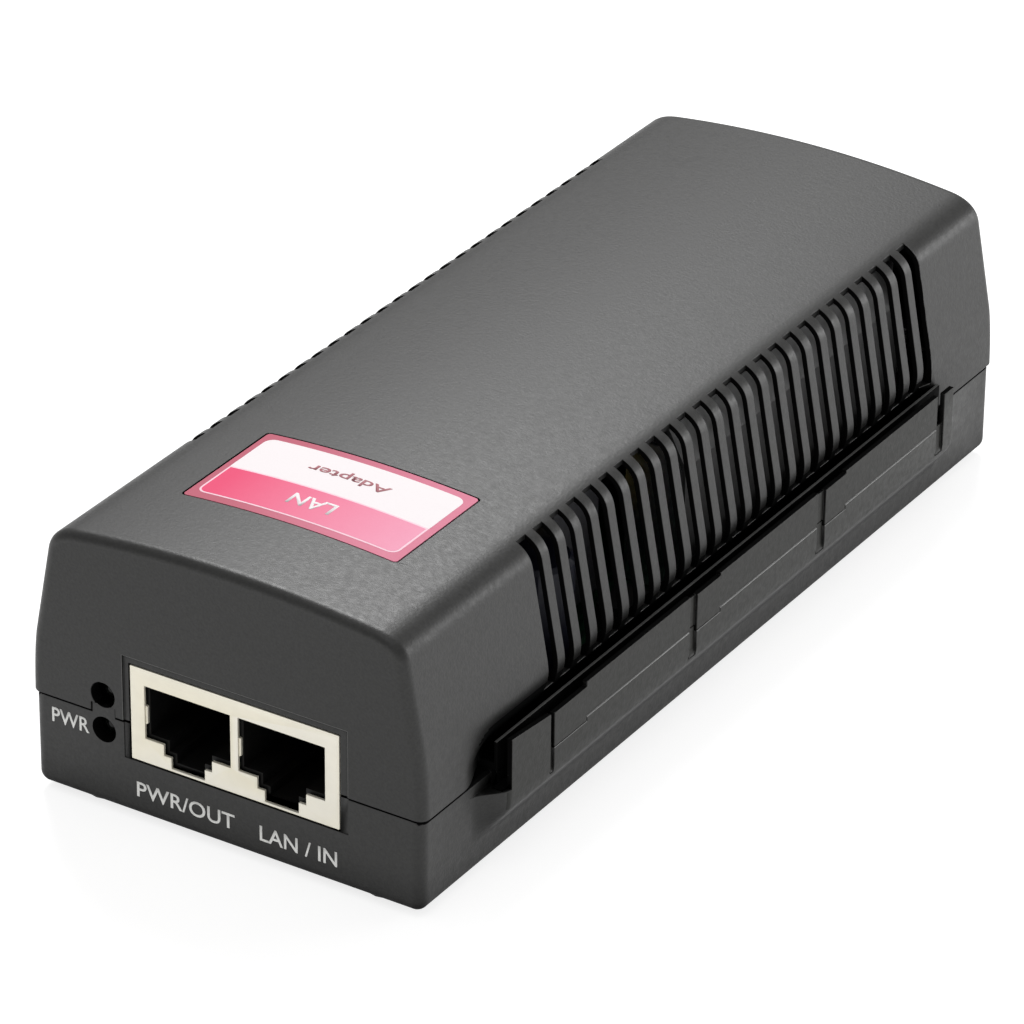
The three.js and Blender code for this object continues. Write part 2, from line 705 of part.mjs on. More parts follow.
function statusLed(z) {
  const profile = [[0, 0], [1.8, 0], [1.8, 0.9], [LED_RADIUS, 0.9], [LED_RADIUS, 3.6], [1, 4.7], [0, 5.1]];
  const geometry = new THREE.LatheGeometry(profile.map(([r, h]) => new THREE.Vector2(r, h)), 16);
  geometry.rotateX(Math.PI);
  geometry.translate(LED_X, LED_BACK, z);
  return solidOf(geometry);
}

place("status_led_upper", statusLed(LED_UPPER_Z), "ledBody");
place("status_led_lower", statusLed(LED_LOWER_Z), "ledBody");
const ledHolder = block(
  [LED_X - 2.5, LED_X + 2.5],
  [LED_BACK + GAP, LED_BACK + 4.5],
  [SEAT, LED_UPPER_Z + 2.2],
);
place("led_holder", ledHolder, "jackPlastic");

// ---------------------------------------------------------------- mains inlet

const inletMiddleZ = (SEAT + INLET_TOP) / 2;
const inletPins = [
  ["inlet_pin_line", -INLET_PIN_SPACING, inletMiddleZ - INLET_PIN_OFFSET],
  ["inlet_pin_neutral", INLET_PIN_SPACING, inletMiddleZ - INLET_PIN_OFFSET],
  ["inlet_pin_earth", 0, inletMiddleZ + INLET_PIN_OFFSET],
];

function inletHousing() {
  const body = block([-INLET_HALF_WIDTH, INLET_HALF_WIDTH], [INLET_FRONT, INLET_FACE], [SEAT, INLET_TOP]);
  const half = INLET_SOCKET_WIDTH / 2;
  const low = inletMiddleZ - INLET_SOCKET_HEIGHT / 2;
  const high = inletMiddleZ + INLET_SOCKET_HEIGHT / 2;
  const chamfer = 4.5;
  const socket = alongY(
    [[-half, low], [half, low], [half, high - chamfer], [half - chamfer, high], [-half + chamfer, high],
      [-half, high - chamfer]],
    [INLET_SOCKET_FLOOR_Y, INLET_FACE + 1],
  );
  const passages = inletPins.map(([, x, z]) => {
    return block([x - 1 - GAP, x + 1 + GAP], [INLET_FRONT - 1, INLET_FACE], [z - 2 - GAP, z + 2 + GAP]);
  });
  return body.subtract(join([socket, ...passages]));
}

place("ac_inlet_housing", inletHousing(), "inletPlastic");
for (const [name, x, z] of inletPins) {
  const blade = block([x - 1, x + 1], [INLET_FRONT - 2.4, INLET_FACE - 2], [z - 2, z + 2]);
  const point = block([x - 0.6, x + 0.6], [INLET_FACE - 3, INLET_FACE - 1.4], [z - 1.6, z + 1.6]);
  place(name, blade.add(point), "steel");
}

// ---------------------------------------------------------------- mains side of the board

const FUSE_X = -17;
const FUSE_Z = SEAT + 4.1;
const FUSE_RADIUS = 2.6;

function fuseClip(y) {
  const reach = FUSE_RADIUS + 1;
  const span = [y - 2, y + 2];
  const jaws = rod("y", [FUSE_X, FUSE_Z], span, reach, 18);
  const stem = block([FUSE_X - 1.2, FUSE_X + 1.2], span, [SEAT, FUSE_Z - FUSE_RADIUS - 0.5]);
  const sole = block([FUSE_X - reach, FUSE_X + reach], span, [SEAT, SEAT + 0.6]);
  const grip = rod("y", [FUSE_X, FUSE_Z], [y - 3, y + 3], FUSE_RADIUS + GAP, 18);
  const mouth = block([FUSE_X - 1.8, FUSE_X + 1.8], [y - 3, y + 3], [FUSE_Z, FUSE_Z + reach + 1]);
  return join([jaws, stem, sole]).subtract(grip.add(mouth));
}

place("fuse", rod("y", [FUSE_X, FUSE_Z], [31, 51], FUSE_RADIUS, 16), "glass");
place("fuse_clip_front", fuseClip(34), "steel");
place("fuse_clip_back", fuseClip(48), "steel");

function disc(x, y, radius, thickness) {
  const z = SEAT + radius + 1.6;
  const coat = rod("y", [x, z], [y - thickness / 2, y + thickness / 2], radius, 18);
  const leads = [-0.5, 0.5].map((side) => {
    const leadX = x + side * radius;
    return block([leadX - 0.35, leadX + 0.35], [y - 0.35, y + 0.35], [SEAT, z]);
  });
  return join([coat, ...leads]);
}

place("varistor", disc(-7, 49.5, 5, 4), "blueEpoxy");
place("inrush_thermistor", disc(-7, 42, 4.5, 4), "greenEpoxy");
place("x_capacitor", block([3, 21], [42.5, 51], [SEAT, SEAT + 14]), "yellowBox");

const CHOKE_MIDDLE = [11, 33.8, SEAT + 11.2];

function ring(inner, outer, half) {
  const [x, y, z] = CHOKE_MIDDLE;
  const hollow = rod("y", [x, z], [y - half - 1, y + half + 1], inner, 24);
  return rod("y", [x, z], [y - half, y + half], outer, 24).subtract(hollow);
}

function chokeWinding(side) {
  const [x, y, z] = CHOKE_MIDDLE;
  const reach = side > 0 ? [x + 1.6, x + 12] : [x - 12, x - 1.6];
  const wound = ring(3.4, 10.2, 4.6).intersect(block(reach, [y - 6, y + 6], [z - 7.4, z + 7.4]));
  return wound.subtract(ring(4.9, 8.9, 3.5));
}

place("choke_core", ring(5.2, 8.6, 3.2), "ferrite");
place("choke_winding_left", chokeWinding(-1), "copper");
place("choke_winding_right", chokeWinding(1), "copper");

function bridgeRectifier() {
  const [left, right] = [-3, 11];
  const [low, high] = [SEAT + 2, SEAT + 13];
  const body = alongY(
    [[left, low], [right, low], [right, high], [left + 2, high], [left, high - 2]],
    [24.6, 28.2],
  );
  const legs = [1.4, 5.1, 8.9, 12.6].map((offset) => {
    return block([left + offset - 0.4, left + offset + 0.4], [26, 26.8], [SEAT, low + 0.5]);
  });
  return join([body, ...legs]);
}

place("bridge_rectifier", bridgeRectifier(), "epoxyBlack");

function electrolytic(x, y, radius, height) {
  const groove = Math.min(2.4, height / 6);
  const profile = [
    [0, 0],
    [radius - 0.5, 0],
    [radius, 0.5],
    [radius, groove],
    [radius - 0.5, groove + 0.7],
    [radius, groove + 1.4],
    [radius, height - 0.6],
    [radius - 0.6, height],
    [0, height],
  ];
  return turned(profile, [x, y, SEAT]);
}

place("bulk_capacitor", electrolytic(-11, 15, 9, 24), "capSleeve");

// A TO-220 package with its front at x = 0 and its tab towards +x, standing on three legs.
const PACKAGE_DEPTH = 4.4;
const TAB_HOLE_Z = 14.8;

function powerPackage() {
  const body = block([0, PACKAGE_DEPTH], [-5.1, 5.1], [2.6, 12]);
  const tab = block([PACKAGE_DEPTH - 1.3, PACKAGE_DEPTH], [-5.1, 5.1], [11, 18]);
  const legs = [-2.5, 0, 2.5].map((y) => block([1.4, 2.1], [y - 0.4, y + 0.4], [0, 3]));
  return join([body, tab, ...legs]).subtract(tabScrewHole([-5, 10]));
}

function tabScrewHole(span) {
  return rod("x", [0, TAB_HOLE_Z], span, 1.5 + GAP, 12);
}

// The screw that holds the tab: its head stands in front of the tab and its shank passes the plate.
function tabScrew() {
  const seat = PACKAGE_DEPTH - 1.3 - GAP;
  const head = rod("x", [0, TAB_HOLE_Z], [seat - 2, seat], 2.8, 12);
  const shank = rod("x", [0, TAB_HOLE_Z], [seat - 1, seat + 4.6], 1.5, 10);
  return head.add(shank);
}

const PRIMARY_PACKAGE = [15.5, 14, SEAT];

function primaryHeatSink() {
  const front = PRIMARY_PACKAGE[0] + PACKAGE_DEPTH + GAP;
  const height = [SEAT, SEAT + 21];
  const plate = block([front, front + 2], [0, 28], height);
  const foot = block([13.5, front + 1], [0, 2], height);
  return plate.add(foot).subtract(tabScrewHole([front - 5, front + 5]).translate([0, 14, SEAT]));
}

place("primary_heat_sink", primaryHeatSink(), "aluminium");
place("switching_transistor", powerPackage().translate(PRIMARY_PACKAGE), "epoxyBlack");
place("transistor_screw", tabScrew().translate(PRIMARY_PACKAGE), "steel");

// ---------------------------------------------------------------- transformer

const TRANSFORMER = [1, -13, SEAT + 2];

function transformerCore() {
  const frame = block([-13, 13], [-5.5, 5.5], [0, 21]);
  return frame.subtract(bothSides(block([3.7, 9.6], [-6, 6], [3.6, 17.4])));
}

function bobbin() {
  const flanges = [[3.9, 4.7], [16.3, 17.1]].map((z) => block([-9.2, 9.2], [-9.6, 9.6], z));
  const tube = block([-4.9, 4.9], [-6.7, 6.7], [3.9, 17.1]);
  const bore = block([-4, 4], [-5.8, 5.8], [3, 18]);
  return join([...flanges, tube]).subtract(bore);
}

function transformerWinding() {
  const outer = extrude("z", roundedRectangle(8.9, 9.3, 2.5), [5, 16], 3);
  return outer.subtract(block([-5.2, 5.2], [-7, 7], [4, 17]));
}

place("transformer_core", transformerCore().translate(TRANSFORMER), "ferrite");
place("transformer_bobbin", bobbin().translate(TRANSFORMER), "epoxyBlack");
place("transformer_winding", transformerWinding().translate(TRANSFORMER), "tape");
place("y_capacitor", disc(-19, -8, 3.6, 3), "blueEpoxy");
place("optocoupler", block([17.2, 21.8], [-13, -6.5], [SEAT, SEAT + 3.6]), "epoxyBlack");

// ---------------------------------------------------------------- low-voltage and LAN side

const SECONDARY_PACKAGE = [-8, -34.3, SEAT];

// Turns a solid that faces -x, with its tab towards +x, so that it faces -y instead.
function facingFront(solid) {
  return solid.rotate([0, 0, 90]);
}

function secondaryHeatSink() {
  const front = SECONDARY_PACKAGE[1] + PACKAGE_DEPTH + GAP;
  const height = [SEAT, SEAT + 20.5];
  const plate = block([-20, 2], [front, front + 2], height);
  const fin = block([-20, -18.2], [-36, front + 1], height);
  const hole = facingFront(tabScrewHole([0, 20])).translate(SECONDARY_PACKAGE);
  return plate.add(fin).subtract(hole);
}

place("secondary_heat_sink", secondaryHeatSink(), "aluminium");
place("output_diode", facingFront(powerPackage()).translate(SECONDARY_PACKAGE), "epoxyBlack");
place("diode_screw", facingFront(tabScrew()).translate(SECONDARY_PACKAGE), "steel");

place("output_capacitor_left", electrolytic(8.5, -31, 5, 20), "capSleeve");
place("output_capacitor_right", electrolytic(19.2, -31, 5, 20), "capSleeve");

function outputInductor() {
  const profile = [[0, 0], [5.5, 0], [5.5, 1.4], [4.4, 1.4], [4.4, 8.6], [5.5, 8.6], [5.5, 10], [0, 10]];
  return turned(profile, [8.5, -43, SEAT]);
}

place("output_inductor", outputInductor(), "ferrite");

function chip([x0, x1], [y0, y1], height, legs) {
  const body = block([x0, x1], [y0, y1], [SEAT + 0.2, SEAT + height]);
  const feet = Array.from({ length: legs }, (_, i) => {
    const y = y0 + ((i + 0.5) * (y1 - y0)) / legs;
    return block([x0 - 0.9, x1 + 0.9], [y - 0.2, y + 0.2], [SEAT, SEAT + 0.5]);
  });
  return join([body, ...feet]);
}

place("power_controller", chip([-20.6, -16.6], [-22, -17], 1.7, 4), "epoxyBlack");
place("poe_controller", chip([-20, -12.5], [-49.5, -39.5], 2.4, 8), "epoxyBlack");
place("lan_transformer", chip([-8.5, 1.5], [-53, -38], 6, 6), "epoxyBlack");

// An inverted trough of thin sheet over the mains side, inset by the sheet's thickness inside.
function barrierOutline(inset) {
  const half = BARRIER_HALF_WIDTH - inset;
  const top = BARRIER_TOP - inset;
  const right = [[half, SEAT - inset], [half, top - 5], [half - 2.6, top]];
  const left = right.map(([x, z]) => [-x, z]).reverse();
  return [...right, ...left];
}

function insulatingBarrier() {
  const outer = alongY(barrierOutline(0), [BARRIER_FRONT, BARRIER_BACK]);
  return outer.subtract(alongY(barrierOutline(BARRIER_SHEET), [BARRIER_FRONT - 1, BARRIER_BACK + 1]));
}

place("insulating_barrier", insulatingBarrier(), "sheet");

export default injector;
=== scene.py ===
import math
import bmesh
import bpy
from mathutils import Matrix, Vector
from mathutils.bvhtree import BVHTree
from mathutils.interpolate import poly_3d_calc


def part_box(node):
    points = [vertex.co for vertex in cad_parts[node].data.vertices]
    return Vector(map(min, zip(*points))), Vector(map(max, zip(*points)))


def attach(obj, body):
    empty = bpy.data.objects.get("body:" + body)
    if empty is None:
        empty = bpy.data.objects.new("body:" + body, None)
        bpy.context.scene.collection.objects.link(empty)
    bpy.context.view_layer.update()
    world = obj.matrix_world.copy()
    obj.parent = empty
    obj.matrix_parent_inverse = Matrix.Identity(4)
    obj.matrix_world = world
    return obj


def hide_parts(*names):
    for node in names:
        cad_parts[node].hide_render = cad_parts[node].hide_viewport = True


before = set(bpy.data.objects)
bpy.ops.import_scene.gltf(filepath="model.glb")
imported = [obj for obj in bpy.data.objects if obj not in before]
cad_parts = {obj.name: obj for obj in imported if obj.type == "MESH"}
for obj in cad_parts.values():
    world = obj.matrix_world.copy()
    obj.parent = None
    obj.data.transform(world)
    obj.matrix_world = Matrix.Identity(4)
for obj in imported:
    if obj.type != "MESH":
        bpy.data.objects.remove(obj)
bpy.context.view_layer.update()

# ---- driving dimensions
# Lengths are in millimetres from the case's underside, which stands on its feet above the floor.

MM = 0.001
CASE_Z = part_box("bottom_case")[0].z
UNIT = "unit"

cover_low, cover_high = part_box("top_cover")
HALF_LENGTH = (cover_high.y - cover_low.y) / MM / 2
TOP = (cover_high.z - CASE_Z) / MM
RAIL_OUT = cover_high.x / MM

PARTING = 13.3
PARTING_GAP = 0.28
RIM_CHAMFER = 0.35
FOOT = (29.25, PARTING)
WAIST_CONTROL = (29.2, 18.9)
WAIST = (28.75, 21.9)
SIDE_END = (26.45, 34.3)
SHOULDER_CONTROL = (25.9, 37.2)
CROWN_RISE = 1.4
SHOULDER_END = (22.0, TOP - CROWN_RISE)
END_FILLET = 1.35
END_FLAT = 0.2
COVER_WALL = 0.75
EDGE_ROUND = 0.1

SLOT_COUNT = 26
SLOT_PITCH = 3.817
SLOT_WIDTH = 2.1
SLOT_FIRST = -42.21
SLOT_SILL = 17.65
SLOT_TOP_X = 23.85

COVE_TOP = 21.0
COVE_BOTTOM = 15.3
COVE_DEPTH = 2.4
COVE_FRONT = (-63.0, -54.8)
COVE_BACK = (51.5, 55.2)

RAIL_FRONT = -56.45
RAIL_BACK = 55.45
WALL_IN = RAIL_OUT - 0.75
LIP_OUT = 29.75
LIP_IN = 29.3
LIP_TOP = 17.15
FLANGE_BOTTOM = 12.98
TAB_BOTTOM = 12.25
FLANGE_TOP = 14.1
GROOVE_BOTTOM = 8.75
GROOVE_DEPTH = 0.36
CHANNEL_FLOOR = 11.15
SEAM = 0.1

BASE_HALF_WIDTH = 28.9
BASE_END = HALF_LENGTH - 0.15
BASE_EDGE = 1.6
BASE_TOP = PARTING - PARTING_GAP
BASE_WALL = 2.0
BASE_FLOOR = 3.2
FOOT_POCKET = ("foot_", 4.05, 0.5)
SCREW_WELL = ("case_screw_", 3.0, 2.6)
LABEL_POCKET = (19.4, 42.4, 0.55)
CORNERS = ("front_left", "front_right", "back_left", "back_right")
FLARE_LOW = 3.4
FLARE_HIGH = 9.3
FLARE_FRONT = RAIL_FRONT - 4.6
FLARE_BACK = RAIL_BACK + 2.2

JACK_X = 1.32
JACK_HALF_WIDTH = 15.5
JACK_LOW = 8.15
JACK_HIGH = 21.5
JACK_FACE = -71.7
JACK_BACK = -55.9
PORT_PITCH = 13.97
PORT_CENTRES = (JACK_X - PORT_PITCH / 2, JACK_X + PORT_PITCH / 2)

LED_X = -18.2
LED_RADIUS = 1.8
LED_HEIGHTS = (10.95, 15.95)

INLET_HALF_WIDTH = 13.9
INLET_LOW = 8.15
INLET_HIGH = 28.85

LABEL_MIDDLE = (-0.1, -48.0)
LABEL_HALF = (15.75, 9.4)


def place(x, y, z):
    """A point in millimetres from the case's underside, as metres in the frame."""
    return Vector((x * MM, y * MM, z * MM + CASE_Z))


# ---- camera, floor and light

CAMERA_AZIMUTH = math.radians(32.103)
CAMERA_ELEVATION = math.radians(29.022)
CAMERA_ROLL = math.radians(-0.55)
CAMERA_DISTANCE = 786.59
CAMERA_PAN = (-3.239, 12.232)
CAMERA_LENS = 208.55

FLOOR_GREY = 0.42
FLOOR_GLOW = 0.79
SKY_GLOW = 0.42


def make_camera():
    azimuth, elevation, roll = CAMERA_AZIMUTH, CAMERA_ELEVATION, CAMERA_ROLL
    back = Vector((
        math.sin(azimuth) * math.cos(elevation),
        -math.cos(azimuth) * math.cos(elevation),
        math.sin(elevation),
    ))
    right = Vector((math.cos(azimuth), math.sin(azimuth), 0))
    up = back.cross(right)
    spot = back * CAMERA_DISTANCE + right * CAMERA_PAN[0] + up * CAMERA_PAN[1]
    turned_right = right * math.cos(roll) - up * math.sin(roll)
    turned_up = right * math.sin(roll) + up * math.cos(roll)
    data = bpy.data.cameras.new("camera")
    data.sensor_width = 36
    data.lens = CAMERA_LENS
    data.clip_start = 0.01
    data.clip_end = 20
    camera = bpy.data.objects.new("camera", data)
    bpy.context.scene.collection.objects.link(camera)
    turn = Matrix((turned_right, turned_up, back)).transposed().to_4x4()
    camera.matrix_world = Matrix.Translation(place(*spot)) @ turn
    bpy.context.scene.camera = camera


def area_light(name, location, target, size, power):
    data = bpy.data.lights.new(name, "AREA")
    data.shape = "RECTANGLE"
    data.size, data.size_y = size
    data.energy = power
    light = bpy.data.objects.new(name, data)
    light.location = location
    light.rotation_euler = (Vector(target) - Vector(location)).to_track_quat("-Z", "Y").to_euler()
    bpy.context.scene.collection.objects.link(light)


def make_studio():
    """A pale, softly glowing table, even light all round, and three soft panels."""
    bpy.ops.mesh.primitive_plane_add(size=6, location=(0, 0, 0))
    floor = bpy.context.object
    floor.name = "floor"
    material = bpy.data.materials.new("floor")
    material.use_nodes = True
    shader = material.node_tree.nodes["Principled BSDF"]
    shader.inputs["Base Color"].default_value = (FLOOR_GREY, FLOOR_GREY, FLOOR_GREY, 1)
    shader.inputs["Roughness"].default_value = 0.9
    shader.inputs["Emission Color"].default_value = (1, 1, 1, 1)
    shader.inputs["Emission Strength"].default_value = FLOOR_GLOW
    floor.data.materials.append(material)
    world = bpy.data.worlds.new("studio")
    world.use_nodes = True
    sky = world.node_tree.nodes["Background"]
    sky.inputs["Color"].default_value = (1, 1, 1, 1)
    sky.inputs["Strength"].default_value = SKY_GLOW
    bpy.context.scene.world = world
    bpy.context.scene.view_settings.view_transform = "Standard"
    area_light("back_panel", (-0.31, 0.44, 0.69), (0, -0.06, 0.04), (0.38, 0.28), 6.2)
    area_light("right_panel", (0.40, 0.46, 0.13), (0, 0, 0.03), (0.32, 0.16), 1.15)
    area_light("overhead", (0.10, -0.35, 0.75), (0, 0, 0), (0.5, 0.5), 0.8)


make_camera()
make_studio()

# ---- materials


class Nodes:
    """A short way to build a node material round its Principled shader."""

    def __init__(self, name):
        self.material = bpy.data.materials.new(name)
        self.material.use_nodes = True
        self.tree = self.material.node_tree
        self.shader = self.tree.nodes["Principled BSDF"]
        self.place = self.add("ShaderNodeTexCoord").outputs["Object"]

    def add(self, kind, **values):
        node = self.tree.nodes.new(kind)
        for key, value in values.items():
            setattr(node, key, value)
        return node

    def link(self, source, target):
        self.tree.links.new(source, target)

    def noise(self, scale, detail=2.0, roughness=0.5, vector=None):
        node = self.add("ShaderNodeTexNoise")
        node.inputs["Scale"].default_value = scale
        node.inputs["Detail"].default_value = detail
        node.inputs["Roughness"].default_value = roughness
        self.link(vector or self.place, node.inputs["Vector"])
        return node.outputs["Fac"]

    def waves(self, scale, direction, distortion):
        node = self.add("ShaderNodeTexWave", bands_direction=direction)
        node.inputs["Scale"].default_value = scale
        node.inputs["Distortion"].default_value = distortion
        self.link(self.place, node.inputs["Vector"])
        return node.outputs["Fac"]

    def stretch(self, scale):
        node = self.add("ShaderNodeMapping")
        node.inputs["Scale"].default_value = scale
        self.link(self.place, node.inputs["Vector"])
        return node.outputs["Vector"]

    def span(self, source, low, high, start=0.0, end=1.0):
        node = self.add("ShaderNodeMapRange")
        node.inputs["From Min"].default_value = start
        node.inputs["From Max"].default_value = end
        node.inputs["To Min"].default_value = low
        node.inputs["To Max"].default_value = high
        self.link(source, node.inputs["Value"])
        return node.outputs["Result"]

    def blend(self, factor, first, second):
        node = self.add("ShaderNodeMix", data_type="RGBA")
        self.link(factor, node.inputs["Factor"])
        for value, socket in ((first, node.inputs["A"]), (second, node.inputs["B"])):
            if isinstance(value, tuple):
                socket.default_value = (*value, 1)
            else:
                self.link(value, socket)
        return node.outputs["Result"]

    def occlusion_shade(self, reach):
        """Painted shade from occlusion: near one in the open, and falling towards zero in narrow corners
        and channels.
        """
        node = self.add("ShaderNodeAmbientOcclusion", samples=8)
        node.inputs["Distance"].default_value = reach
        return self.span(node.outputs["AO"], 0.0, 1.0, 0.25, 0.93)

    def lit_from_above(self):
        """Painted shade by facing: one where a face looks up or sideways, and less where it looks at the
        floor, which lights it less.
        """
        axes = self.add("ShaderNodeSeparateXYZ")
        self.link(self.add("ShaderNodeNewGeometry").outputs["Normal"], axes.inputs["Vector"])
        return self.span(axes.outputs["Z"], 0.3, 1.0, -0.45, 0.12)

    def product(self, first, second):
        node = self.add("ShaderNodeMath", operation="MULTIPLY")
        self.link(first, node.inputs[0])
        self.link(second, node.inputs[1])
        return node.outputs["Value"]

    def edges(self):
        """How far a spot stands out from its surroundings, which is high along outer edges."""
        return self.span(self.add("ShaderNodeNewGeometry").outputs["Pointiness"], 0, 1, 0.52, 0.62)

    def bump(self, height, strength, distance, below=None):
        node = self.add("ShaderNodeBump")
        node.inputs["Strength"].default_value = strength
        node.inputs["Distance"].default_value = distance
        self.link(height, node.inputs["Height"])
        if below is not None:
            self.link(below, node.inputs["Normal"])
        return node.outputs["Normal"]

    def finish(self, color, roughness, normal, **fixed):
        self.link(color, self.shader.inputs["Base Color"])
        self.link(roughness, self.shader.inputs["Roughness"])
        self.link(normal, self.shader.inputs["Normal"])
        for socket, value in fixed.items():
            self.shader.inputs[socket.replace("_", " ")].default_value = value
        return self.material


# How far the painted occlusion shade looks for nearby surfaces, in metres.
OCCLUSION_SHADE_REACH = 0.009


def tinted(color, factor):
    return tuple(channel * factor for channel in color)


def moulded(name, color, roughness, grain, depth, specular=0.5, with_painted_shade=False):
    """Spark-eroded plastic: fine grain, slow drifts in colour and gloss, and paler worn edges; or, with
    painted shade, darker colour and specular in corners, in channels and on faces that look down.
    """
    nodes = Nodes(name)
    fine = nodes.noise(grain, 2.0, 0.55)
    coarse = nodes.noise(grain * 0.45, 2.0, 0.5)
    drift = nodes.noise(38.0, 3.0, 0.6)
    fleck = nodes.blend(nodes.span(fine, 0, 1, 0.35, 0.65), tinted(color, 0.84), tinted(color, 1.18))
    tone = nodes.blend(nodes.span(drift, 0.0, 0.2, 0.35, 0.7), fleck, tinted(color, 1.12))
    gloss = nodes.span(coarse, roughness - 0.04, roughness + 0.05, 0.3, 0.7)
    normal = nodes.bump(fine, depth, 0.00004, nodes.bump(coarse, depth * 0.3, 0.00005))
    if not with_painted_shade:
        worn = nodes.blend(nodes.span(nodes.edges(), 0.0, 0.4), tone, tinted(color, 1.9))
        return nodes.finish(worn, gloss, normal, Specular_IOR_Level=specular)
    # Painted shade: the occlusion and facing factors darken the colour and dim the specular.
    shade = nodes.product(nodes.occlusion_shade(OCCLUSION_SHADE_REACH), nodes.lit_from_above())
    nodes.link(nodes.span(shade, 0.02, specular), nodes.shader.inputs["Specular IOR Level"])
    return nodes.finish(nodes.blend(shade, (0, 0, 0), tone), gloss, normal)


def smooth_plastic(name, color, roughness, specular=0.5):
    nodes = Nodes(name)
    drift = nodes.noise(240.0, 4.0, 0.6)
    tone = nodes.blend(nodes.span(drift, 0, 1, 0.3, 0.7), tinted(color, 0.9), tinted(color, 1.1))
    worn = nodes.blend(nodes.span(nodes.edges(), 0.0, 0.3), tone, tinted(color, 1.7))
    gloss = nodes.span(nodes.noise(900.0, 3.0), roughness - 0.06, roughness + 0.08, 0.3, 0.7)
    normal = nodes.bump(nodes.noise(1500.0, 2.0), 0.12, 0.00003)
    return nodes.finish(worn, gloss, normal, Specular_IOR_Level=specular)


def sheet_metal(name, color, roughness, grain=(90.0, 1600.0, 1600.0), depth=0.12, metallic=1.0):
    """Rolled or plated sheet: fine drawn lines, slow drifts in tone, and brighter edges."""
    nodes = Nodes(name)
    lines = nodes.noise(1.0, 3.0, 0.6, nodes.stretch(grain))
    drift = nodes.noise(160.0, 3.0, 0.6)
    tone = nodes.blend(nodes.span(drift, 0, 1, 0.3, 0.7), tinted(color, 0.93), tinted(color, 1.04))
    worn = nodes.blend(nodes.span(nodes.edges(), 0.0, 0.3), tone, (0.95, 0.94, 0.92))
    gloss = nodes.span(lines, roughness - 0.08, roughness + 0.1, 0.3, 0.7)
    normal = nodes.bump(lines, depth, 0.00002)
    return nodes.finish(worn, gloss, normal, Metallic=metallic)


def printed(name, color, second=None, reach=(0.0, 1.0), roughness=0.42):
    """Ink under a thin clear film; a second colour fades in along x over a reach in metres."""
    nodes = Nodes(name)
    speck = nodes.noise(3200.0, 2.0, 0.6)
    tone = color
    if second:
        axes = nodes.add("ShaderNodeSeparateXYZ")
        nodes.link(nodes.place, axes.inputs["Vector"])
        tone = nodes.blend(nodes.span(axes.outputs["X"], 0, 1, *reach), color, second)
    faint = nodes.blend(nodes.span(speck, 0.0, 0.05, 0.4, 0.7), tone, tinted(color, 0.7))
    gloss = nodes.span(nodes.noise(700.0, 3.0), roughness - 0.05, roughness + 0.08, 0.3, 0.7)
    normal = nodes.bump(nodes.noise(420.0, 3.0), 0.06, 0.00005)
    return nodes.finish(faint, gloss, normal, Specular_IOR_Level=0.06)


def dipped(name, color):
    """Thick dipped epoxy: glossy, slightly lumpy, with small pits."""
    nodes = Nodes(name)
    lumps = nodes.noise(420.0, 2.0)
    pits = nodes.noise(2600.0, 1.0)
    tone = nodes.blend(nodes.span(lumps, 0, 1, 0.3, 0.7), tinted(color, 0.85), tinted(color, 1.15))
    normal = nodes.bump(pits, 0.1, 0.00003, nodes.bump(lumps, 0.4, 0.0002))
    return nodes.finish(tone, nodes.span(pits, 0.16, 0.34), normal, Coat_Weight=0.4, Coat_Roughness=0.1)


def laminate(name):
    """Green solder mask over glass cloth, with paler tracks under it."""
    nodes = Nodes(name)
    tracks = nodes.waves(190.0, "X", 9.0)
    cloth = nodes.noise(2600.0, 1.0)
    under = nodes.blend(nodes.span(tracks, 0, 1, 0.62, 0.7), (0.006, 0.035, 0.016), (0.014, 0.07, 0.03))
    tone = nodes.blend(nodes.span(cloth, 0.0, 0.25), under, (0.005, 0.025, 0.013))
    normal = nodes.bump(tracks, 0.25, 0.00004, nodes.bump(cloth, 0.2, 0.00002))
    return nodes.finish(tone, nodes.span(cloth, 0.28, 0.42), normal)


def wound(name, color, pitch, roughness, metallic, direction="Z"):
    """Turns of wire or tape laid side by side along an axis."""
    nodes = Nodes(name)
    turns = nodes.waves(pitch, direction, 0.4)
    drift = nodes.noise(300.0, 2.0)
    # The colour falls to under half in the grooves between turns: painted shade.
    tone = nodes.blend(turns, tinted(color, 0.45), color)
    aged = nodes.blend(nodes.span(drift, 0.0, 0.4), tone, tinted(color, 0.75))
    normal = nodes.bump(turns, 0.9, 0.0002)
    gloss = nodes.span(drift, roughness - 0.05, roughness + 0.1)
    return nodes.finish(aged, gloss, normal, Metallic=metallic)


def clear_glass(name):
    nodes = Nodes(name)
    smear = nodes.noise(300.0, 3.0)
    tone = nodes.blend(smear, (0.85, 0.9, 0.9), (0.7, 0.78, 0.78))
    normal = nodes.bump(smear, 0.03, 0.0001)
    return nodes.finish(tone, nodes.span(smear, 0.04, 0.14), normal, Transmission_Weight=0.8, IOR=1.5)


def lens(name, color):
    """Tinted clear epoxy over a dark cup, unlit."""
    nodes = Nodes(name)
    swirl = nodes.noise(900.0, 2.0)
    tone = nodes.blend(swirl, tinted(color, 0.7), color)
    normal = nodes.bump(swirl, 0.04, 0.0001)
    return nodes.finish(tone, nodes.span(swirl, 0.12, 0.2), normal, Specular_IOR_Level=0.2)


